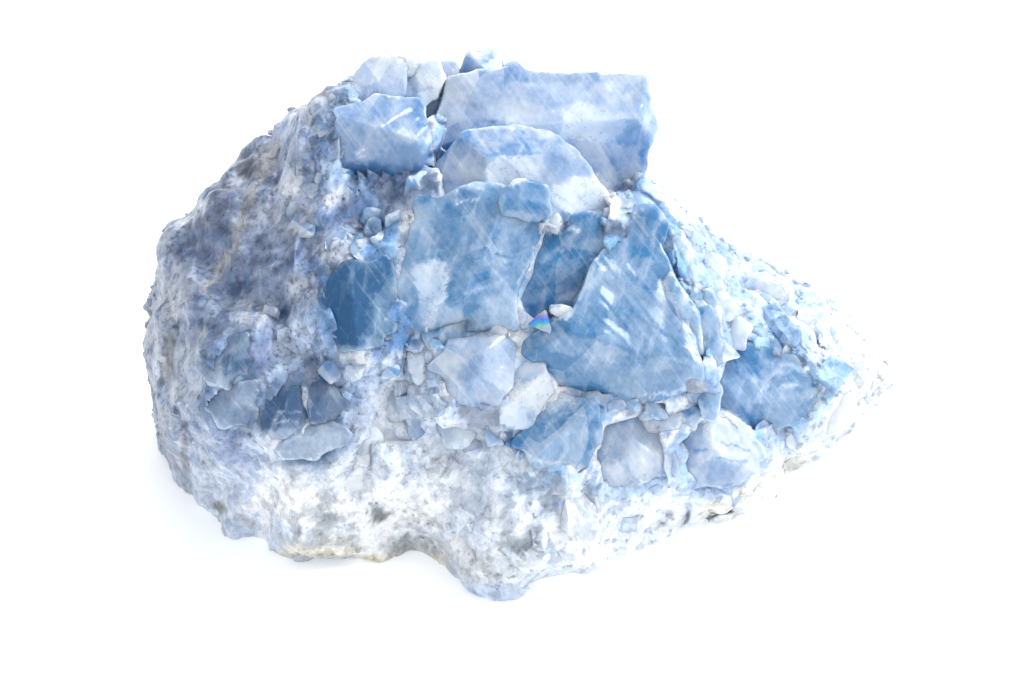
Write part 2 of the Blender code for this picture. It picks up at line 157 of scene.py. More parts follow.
def addPiece(name, points, faces, material, slot, nodes=(), fields=None, smooth=False):
    # Puts points in mm and faces into a mesh that rides on the specimen. Fields are numbers or
    # colours, one for each point, that the material reads by name.
    mesh = bpy.data.meshes.new(name)
    mesh.from_pydata((points * mm).tolist(), [], faces)
    for label, values in (fields or {}).items():
        if values.ndim == 1:
            layer = mesh.attributes.new(label, "FLOAT", "POINT")
            layer.data.foreach_set("value", values.astype(np.float32))
        else:
            layer = mesh.attributes.new(label, "FLOAT_COLOR", "POINT")
            rgba = np.concatenate((values, np.ones((len(values), 1))), axis=1)
            layer.data.foreach_set("color", rgba.astype(np.float32).ravel())
    mesh.polygons.foreach_set("use_smooth", np.full(len(mesh.polygons), smooth))
    mesh.materials.append(material)
    mesh.update()
    piece = bpy.data.objects.new(name, mesh)
    bpy.context.scene.collection.objects.link(piece)
    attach(piece, "root")
    if nodes:
        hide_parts(*nodes)
    print(f"{name}: {len(points)} points, {len(faces)} faces")
    return piece


def joined(shapes):
    # Several shapes as one: their points, their faces counted on from the shapes before, and
    # each further row of values end to end.
    starts = np.cumsum([0] + [len(shape[0]) for shape in shapes]).tolist()
    faces = [[start + k for k in face] for start, shape in zip(starts, shapes) for face in shape[1]]
    points, _, *rows = zip(*shapes)
    return np.vstack(points), faces, *(np.concatenate(row) for row in rows)


def gridFaces(rings, around):
    # Quads between neighbouring rings, then a fan at each end to a pole point.
    # The rings run along the first number, and the two poles come after all of them.
    ring, k = np.meshgrid(np.arange(rings - 1), np.arange(around), indexing="ij")
    after = (k + 1) % around
    quads = np.stack((ring * around + k, ring * around + after,
                      (ring + 1) * around + after, (ring + 1) * around + k), axis=-1)
    k = np.arange(around)
    after = (k + 1) % around
    last = (rings - 1) * around
    first = np.stack((np.full(around, rings * around), after, k), axis=-1)
    final = np.stack((np.full(around, rings * around + 1), last + k, last + after), axis=-1)
    return quads.reshape(-1, 4).tolist() + first.tolist() + final.tolist()


# Materials

def addNode(tree, kind, settings=None):
    # A node with its settings: properties, values of sockets, or the sockets that feed them.
    node = tree.nodes.new(kind)
    for key, value in (settings or {}).items():
        if isinstance(value, bpy.types.NodeSocket):
            tree.links.new(value, node.inputs[key])
        elif isinstance(key, str) and hasattr(node, key):
            setattr(node, key, value)
        else:
            node.inputs[key].default_value = value
    return node


def newMaterial(name):
    material = bpy.data.materials.new(name)
    material.use_nodes = True
    tree = material.node_tree
    tree.nodes.clear()
    output = addNode(tree, "ShaderNodeOutputMaterial")
    place = addNode(tree, "ShaderNodeTexCoord").outputs["Object"]
    return material, tree, output, place


def attribute(tree, name, output="Fac"):
    return addNode(tree, "ShaderNodeAttribute", {"attribute_name": name}).outputs[output]


def noise(tree, place, size, detail=2.0, roughness=0.5, distortion=0.0, output="Fac"):
    # A noise pattern whose features are about the given size in mm.
    return addNode(tree, "ShaderNodeTexNoise", {
        "Scale": 1.0 / (size * mm), "Detail": detail, "Roughness": roughness,
        "Distortion": distortion, "Vector": place}).outputs[output]


def ranged(tree, value, start, full, low=0.0, high=1.0):
    # A value between start and full, moved to between low and high.
    return addNode(tree, "ShaderNodeMapRange", {
        "From Min": start, "From Max": full, "To Min": low, "To Max": high,
        "Value": value}).outputs["Result"]


def calculated(tree, operation, *values):
    return addNode(tree, "ShaderNodeMath", {
        "operation": operation, **dict(enumerate(values))}).outputs[0]


def vectorOf(tree, operation, *values, output=0):
    return addNode(tree, "ShaderNodeVectorMath", {
        "operation": operation, **dict(enumerate(values))}).outputs[output]


def scaled(tree, colour, factor):
    return addNode(tree, "ShaderNodeVectorMath", {
        "operation": "SCALE", 0: colour, "Scale": factor}).outputs[0]


def blended(tree, share, first, second):
    # From the first colour to the second, each a hex value or a socket.
    first, second = ((*linear(own), 1.0) if isinstance(own, str) else own for own in (first, second))
    return addNode(tree, "ShaderNodeMix", {
        "data_type": "RGBA", "Factor": share, 6: first, 7: second}).outputs[2]


# Clear to cloudy strontium sulfate, grown in a geode: a glassy face over a blue body that
# darkens with depth, with milky veils, healed cracks, inner facets and frosted patches.
crystalFinish = {
    "ior": 1.62,
    "clearRoughness": 0.08,
    "frostRoughness": 0.5,
    "frostClear": 0.1,  # how much light goes through where it is frosted
    "frostShare": 0.8,  # how far the frost hides the body's colour
    "soften": 0.8,
    "reach": (0.0020, 0.0016, 0.0012),
    "frostColour": "#E8F0FA",
    "veilSize": 3.4,  # mm, as are the next eight
    "warpSize": 3.0,
    "warp": 1.6,
    "facetSize": 5.0,
    "streakSize": 1.1,
    "cleavageSize": 0.4,
    "fleckSize": 0.8,
    "etchSize": 0.3,
    "etchDepth": 0.04,
    "etchStrength": 0.35,
    "streakTurn": (-18, 6.0),  # degrees from across the slope, and how much longer than wide
    "cleavageTurn": (37, 18.0),
    "veil": 0.26,  # how far each pattern moves the body from dark to light
    "facet": 0.12,
    "tilted": 0.2,
    "grain": 0.09,
    "cleaved": 0.08,
    "streak": 0.13,
    "ragged": 0.35,  # how uneven the frost is
    # flecks, streaks and cleavage: the pattern values where each turns milky and is full, and how milky
    "clouds": ((0.60, 0.76, 0.2), (0.56, 0.76, 0.35), (0.62, 0.74, 0.16)),
    "kinds": {
        "blue": dict(dark="#3E91CA", light="#CCE1F8", clear=0.35, absorb=(0.3, 0.7, 0.96), density=12.0),
        "pale": dict(dark="#6AA0D6", light="#E2ECF9", clear=0.3, absorb=(0.45, 0.74, 0.96), density=8.0),
        "deep": dict(dark="#1A70AA", light="#AACDE8", clear=0.4, absorb=(0.2, 0.66, 0.95), density=15.0),
        "slate": dict(dark="#3A6A9A", light="#B0C6E0", clear=0.3, absorb=(0.3, 0.6, 0.9), density=12.0),
        "clear": dict(dark="#9CC4F0", light="#F6FAFF", clear=0.4, absorb=(0.5, 0.8, 0.98), density=5.0),
    },
}


def spread(tree, value, amount, low=0.32, high=0.68):
    # A pattern value between low and high, moved to between -amount and +amount.
    return ranged(tree, value, low, high, -amount, amount)


def flatFacets(tree, place, size):
    # Cells with a random direction each. Gives that direction, the cells' random tone and the
    # height of a plane that leans along the direction, about -0.5 to 0.5.
    cells = addNode(tree, "ShaderNodeTexVoronoi", {"Scale": 1.0 / (size * mm), "Vector": place})
    way = vectorOf(tree, "SUBTRACT", cells.outputs["Color"], (0.5, 0.5, 0.5))
    off = vectorOf(tree, "SUBTRACT", place, cells.outputs["Position"])
    plane = vectorOf(tree, "DOT_PRODUCT", way, off, output="Value")
    tone = addNode(tree, "ShaderNodeSeparateColor", {"Color": cells.outputs["Color"]}).outputs[0]
    return way, tone, calculated(tree, "MULTIPLY", plane, 1.0 / (size * mm))


def sheets(tree, place, turn, long):
    # Space stretched along sheets that stand on the slope, so that a pattern crosses it in lines.
    # The sheets' normal is cos(turn).across + sin(turn).uphill.
    turn = math.radians(turn)
    normal = math.cos(turn) * slopeAxes[0] + math.sin(turn) * slopeAxes[1]
    return addNode(tree, "ShaderNodeMapping", {
        "vector_type": "TEXTURE", "Scale": (1.0, long, long), "Vector": place,
        "Rotation": (0.0, -math.asin(normal[2]), math.atan2(normal[1], normal[0]))}).outputs[0]


def celestite(kind):
    finish, own = crystalFinish, crystalFinish["kinds"][kind]
    material, tree, output, place = newMaterial(kind + " celestite, glassy with milky veils")
    frost, shade = attribute(tree, "frost"), attribute(tree, "shade")
    wander = noise(tree, place, finish["warpSize"], 3.0, output="Color")
    warped = vectorOf(tree, "MULTIPLY_ADD", wander, (finish["warp"] * mm,) * 3, place)
    veil = noise(tree, place, finish["veilSize"], 6.0, 0.66, 0.5)
    # growth zones run up the slope, cleavage crosses them as fine straight lines
    streak = noise(tree, sheets(tree, warped, *finish["streakTurn"]), finish["streakSize"], 4.0, 0.62)
    cleavage = noise(tree, sheets(tree, place, *finish["cleavageTurn"]), finish["cleavageSize"], 1.0)
    fleck = noise(tree, place, finish["fleckSize"], 4.0, 0.75)
    # inner facets: straight-edged cells, each with its own tone and shaded like a leaning plane
    cells = addNode(tree, "ShaderNodeMapping", {
        "Rotation": (-lean, 0.35, 0.3), "Scale": (1.0, 1.0, 0.55), "Vector": place}).outputs[0]
    _, facet, plane = flatFacets(tree, cells, finish["facetSize"])
    # body: the crystal's own shade, moved up and down by the patterns
    light = shade
    for move in (spread(tree, veil, finish["veil"]), spread(tree, streak, finish["streak"]),
                 spread(tree, facet, finish["facet"], 0.0, 1.0),
                 spread(tree, plane, finish["tilted"], -0.3, 0.3),
                 spread(tree, fleck, finish["grain"]), spread(tree, cleavage, finish["cleaved"])):
        light = calculated(tree, "ADD", light, move)
    tint = blended(tree, light, own["dark"], own["light"])
    # cloud: frost where the attribute says, in ragged patches, scattered flecks and wisps
    ragged = spread(tree, fleck, finish["ragged"], 0.30, 0.70)
    cloud = calculated(tree, "MULTIPLY_ADD", ragged, frost, frost)
    for pattern, (start, full, most) in zip((fleck, streak, cleavage), finish["clouds"]):
        cloud = calculated(tree, "ADD", cloud, ranged(tree, pattern, start, full, 0.0, most))
    cloud = addNode(tree, "ShaderNodeClamp", {"Value": cloud}).outputs[0]
    hidden = calculated(tree, "MULTIPLY", cloud, finish["frostShare"])
    etch = noise(tree, place, finish["etchSize"], 3.0)
    bump = addNode(tree, "ShaderNodeBump", {
        "Strength": finish["etchStrength"], "Distance": finish["etchDepth"] * mm,
        "Height": etch}).outputs["Normal"]
    shader = addNode(tree, "ShaderNodeBsdfPrincipled", {
        "IOR": finish["ior"], "Subsurface Weight": finish["soften"],
        "Subsurface Radius": finish["reach"], "Subsurface Scale": 1.0,
        "Base Color": blended(tree, hidden, tint, finish["frostColour"]),
        "Transmission Weight": ranged(tree, cloud, 0.0, 1.0, own["clear"], finish["frostClear"]),
        "Roughness": ranged(tree, cloud, 0.0, 1.0, finish["clearRoughness"], finish["frostRoughness"]),
        "Normal": bump})
    depth = addNode(tree, "ShaderNodeVolumeAbsorption", {
        "Color": (*own["absorb"], 1.0), "Density": own["density"]})
    tree.links.new(shader.outputs[0], output.inputs["Surface"])
    tree.links.new(depth.outputs[0], output.inputs["Volume"])
    return material


# Milky sulfate: the geode wall's sugary rock, and with a smoother, part clear finish the small
# crystals on it. Coloured point by point; light sinks in a little.
groundFinish = {
    "ior": 1.5,
    "veilSize": 3.4,  # mm, as are the next four
    "mottleSize": 1.7,
    "fleckSize": 0.55,
    "grainSize": 0.45,
    "grainHeight": 0.1,
    "white": "#F4F8FD",
    "reach": (0.0017, 0.0016, 0.0015),
    # on the dull side: slate-blue blotches, darker mottling and dark specks, each with the
    # pattern values where it starts and is full, its strength and its colour
    "blotches": ((0.46, 0.40, 0.65, "#5C7BA8"), (0.44, 0.38, 0.6, "#4C5C78"),
                 (0.40, 0.35, 0.65, "#3E434C")),
    "lift": (0.3, 0.8, 0.1, 0.5),  # how far the veil lifts the tone: where it is dark, where pale
    "milk": (0.42, 0.66),  # the veil's values between which it lifts the tone towards white
    "dim": (0.3, 0.62, 0.88, 1.1),  # the mottle's least and most, and the brightness there
    "grainy": (0.3, 0.7, 0.78, 1.18),  # the same of the flecks
    "facets": [(2.0, 0.4, 0.12), (0.8, 0.55, 0.15)],  # size in mm, how far they lean, and the change of tone that paints each facet's light and shade
}


def milkyStone(name, roughness, clear, soften, grainStrength):
    finish = groundFinish
    material, tree, output, place = newMaterial(name)
    tone, dull = attribute(tree, "tone", "Color"), attribute(tree, "dull")
    veil = noise(tree, place, finish["veilSize"], 6.0, 0.68, 0.4)
    mottle = noise(tree, place, finish["mottleSize"], 5.0, 0.7)
    fleck = noise(tree, place, finish["fleckSize"], 4.0, 0.7)
    for pattern, (start, full, strength, colour) in zip((veil, mottle, fleck), finish["blotches"]):
        most = calculated(tree, "MULTIPLY", dull, strength)
        tone = blended(tree, ranged(tree, pattern, start, full, 0.0, most), tone, colour)
    # milky veils lift the tone towards white, more so where it is pale already
    pale = addNode(tree, "ShaderNodeSeparateColor", {"Color": tone}).outputs[1]
    most = ranged(tree, pale, *finish["lift"])
    colour = blended(tree, ranged(tree, veil, *finish["milk"], 0.0, most), tone, finish["white"])
    dim = calculated(tree, "MULTIPLY", ranged(tree, mottle, *finish["dim"]),
                     ranged(tree, fleck, *finish["grainy"]))
    colour = scaled(tree, colour, dim)
    # sugary: small facets that lean every way, each a little lighter or darker as painted light and shade
    # of its lean
    facing = addNode(tree, "ShaderNodeNewGeometry").outputs["Normal"]
    for size, leaning, toning in finish["facets"]:
        way, facetTone, _ = flatFacets(tree, place, size)
        facing = vectorOf(tree, "MULTIPLY_ADD", way, (leaning,) * 3, facing)
        colour = scaled(tree, colour, ranged(tree, facetTone, 0.0, 1.0, 1 - toning, 1 + toning))
    facing = vectorOf(tree, "NORMALIZE", facing)
    grain = noise(tree, place, finish["grainSize"], 5.0, 0.65)
    bump = addNode(tree, "ShaderNodeBump", {
        "Strength": grainStrength, "Distance": finish["grainHeight"] * mm, "Height": grain,
        "Normal": facing}).outputs["Normal"]
    shader = addNode(tree, "ShaderNodeBsdfPrincipled", {
        "Roughness": roughness, "IOR": finish["ior"], "Transmission Weight": clear,
        "Subsurface Weight": soften, "Subsurface Radius": finish["reach"], "Subsurface Scale": 1.0,
        "Base Color": colour, "Normal": bump})
    tree.links.new(shader.outputs[0], output.inputs["Surface"])
    return material


film = {
    "way": (0.3, -0.574, -0.819),  # the bands follow each other down the slope and to the right
    "start": -15.8,  # mm that way, at the first and the last band
    "end": -12.4,
    "wander": 1.3,  # mm
    "wandering": 0.35,  # share of the bands' whole width
    "centred": (-0.15, 0.85),  # the bands' first and last place, less half of that wandering
    "bands": ("#A9B6B4", "#9386C0", "#4E7AD8", "#3AA2CE", "#8FC2AE",
              "#A8A4C8", "#9CC8CE", "#C4AAD4", "#A4B8DA"),
    "ior": 1.45,
    "roughness": 0.2,
}


def crackFilm():
    # An air film in a crack, which splits the light into bands that run across it.
    material, tree, output, place = newMaterial("air film in a crack, iridescent")
    down = vectorOf(tree, "DOT_PRODUCT", place, film["way"], output="Value")
    down = ranged(tree, down, film["start"] * mm, film["end"] * mm, *film["centred"])
    band = calculated(tree, "MULTIPLY_ADD", noise(tree, place, film["wander"]), film["wandering"], down)
    ramp = addNode(tree, "ShaderNodeValToRGB", {"Fac": band})
    stops = ramp.color_ramp.elements
    for order, hexColour in enumerate(film["bands"]):
        stop = stops[0] if order == 0 else stops.new(order / (len(film["bands"]) - 1))
        stop.color = (*linear(hexColour), 1.0)
    stops.remove(stops[-1])
    shader = addNode(tree, "ShaderNodeBsdfPrincipled", {
        "IOR": film["ior"], "Roughness": film["roughness"], "Base Color": ramp.outputs[0]})
    tree.links.new(shader.outputs[0], output.inputs["Surface"])
    return material


celestites = {kind: celestite(kind) for kind in crystalFinish["kinds"]}
celestites["film"] = crackFilm()
rockMaterial = milkyStone("geode rock, sugary and granular", 0.4, 0.0, 0.55, 0.55)
druseMaterial = milkyStone("pale drusy celestite", 0.25, 0.2, 0.4, 0.15)
print("materials made")

# The host rock

rock = {
    # station x, centre y and z, reach to the front, back, top and underside, fullness of the
    # front slope and of the back, all in mm along the rock
    "sections": np.array([
        (-42.4, 6.0, 11.0, 0.0, 0.0, 0.0, 0.0, 1.9, 2.2),
        (-41.8, 6.0, 11.0, 5.5, 4.5, 7.5, 7.0, 1.9, 2.2),
        (-40.0, 5.5, 11.0, 10.0, 8.0, 14.0, 15.0, 1.8, 2.2),
        (-36.5, 5.0, 10.5, 16.0, 11.0, 19.5, 18.0, 1.7, 2.2),
        (-31.0, 4.5, 9.5, 21.0, 14.0, 25.0, 20.0, 1.5, 2.2),
        (-25.0, 3.5, 9.0, 24.5, 17.0, 32.0, 22.0, 1.45, 2.4),
        (-19.0, 3.0, 9.0, 24.0, 19.5, 34.5, 22.0, 1.2, 2.8),
        (-13.0, 2.5, 9.0, 23.5, 21.0, 32.0, 22.0, 1.1, 3.4),
        (-7.0, 2.0, 9.0, 24.8, 22.0, 29.5, 22.0, 0.95, 4.0),
        (-3.5, 2.0, 9.0, 29.0, 22.0, 28.5, 22.0, 0.9, 4.1),
        (-1.0, 2.0, 9.0, 30.0, 22.0, 28.0, 22.0, 0.9, 4.2),
        (6.0, 2.0, 9.0, 27.5, 22.0, 27.5, 22.0, 0.9, 4.2),
        (12.0, 2.5, 9.0, 21.5, 20.0, 23.5, 21.0, 1.0, 2.6),
        (18.0, 2.8, 8.5, 16.5, 18.5, 18.5, 20.0, 1.2, 2.2),
        (25.0, 3.5, 8.0, 13.5, 16.5, 12.8, 16.0, 1.4, 2.2),
        (31.0, 4.0, 8.5, 8.5, 13.0, 9.0, 12.0, 1.7, 2.2),
        (36.0, 4.5, 8.8, 6.0, 7.5, 5.0, 6.0, 2.0, 2.2),
        (39.5, 5.0, 8.0, 3.5, 3.5, 3.0, 3.2, 2.0, 2.2),
        (42.2, 5.0, 7.0, 0.0, 0.0, 0.0, 0.0, 2.0, 2.2),
    ]),
    "skyline": ((-38, -33, -30, -27.3, -24.6, -21), (0, 1.6, 1.6, -2.1, 1.1, 0)),  # mm across, shift uphill
    "underFullness": 2.2,
    "coreShare": 0.85,
    "endFade": 3.0,
    "lumps": [(13.0, 1.2), (6.5, 0.8)],  # wavelength and height
    "rings": 330,
    "evenRings": 0.65,  # share of even spacing; the rest is closer together at the ends
    "around": 300,
    "closer": (0.28, 0.75 * math.pi),  # how much closer together the points are in front, and where
    "skylineFade": (22, 34),  # mm uphill
    "contrast": (0.3, 0.7),  # of the blocks' tones, on the glassy side and more on the dull one
    "tinge": (1.3, 1.0, 0.6),  # how far tone changes move red, green and blue
    # size in mm, seed and strength
    "blocks": [(6.0, 20, 1.0), (2.9, 50, 0.7), (1.5, 80, 0.5), (0.9, 110, 0.6)],
    "blockHeight": 0.34,  # share of their size
}


def rockFacing(share, turn):
    # Places on the rock and the cross product of a small step round it and one along it.
    spot = rockPoints(share, turn)
    along = rockPoints(share + smallStep, turn) - spot
    return spot, np.cross(rockPoints(share, turn + smallStep) - spot, along)


def rockPoints(share, turn):
    # A loft along X. Each section is a superellipse, (y/reach)^n + (z/reach)^n = 1, with its
    # own reach and fullness in each quarter. Lumps push points away from the core line.
    table = rock["sections"]
    first, last = table[0, 0], table[-1, 0]
    x = first + (last - first) * (1 - np.cos(np.pi * share)) / 2
    y0, z0, front, back, top, under, slope, rear = (
        np.interp(x, table[:, 0], table[:, k]) for k in range(1, 9)
    )
    cos, sin = np.cos(turn), np.sin(turn)
    reachY = np.maximum(np.where(cos < 0, front, back), tiny)
    reachZ = np.maximum(np.where(sin > 0, top, under), tiny)
    full = np.where(sin > 0, np.where(cos < 0, slope, rear), rock["underFullness"])
    stretch = (np.abs(cos) ** full + np.abs(sin) ** full) ** (-1 / full)
    points = np.stack((x, y0 + reachY * stretch * cos, z0 + reachZ * stretch * sin), axis=-1)
    out = unit(points - np.stack((x * rock["coreShare"], y0, z0), axis=-1))
    flat = points.reshape(-1, 3)
    bump = sum(
        height * waveNoise(flat, wavelength, seed)
        for seed, (wavelength, height) in enumerate(rock["lumps"])
    )
    fade = np.clip(np.minimum(x - first, last - x) / rock["endFade"], 0, 1)
    return points + out * (bump.reshape(x.shape) * fade)[..., None]
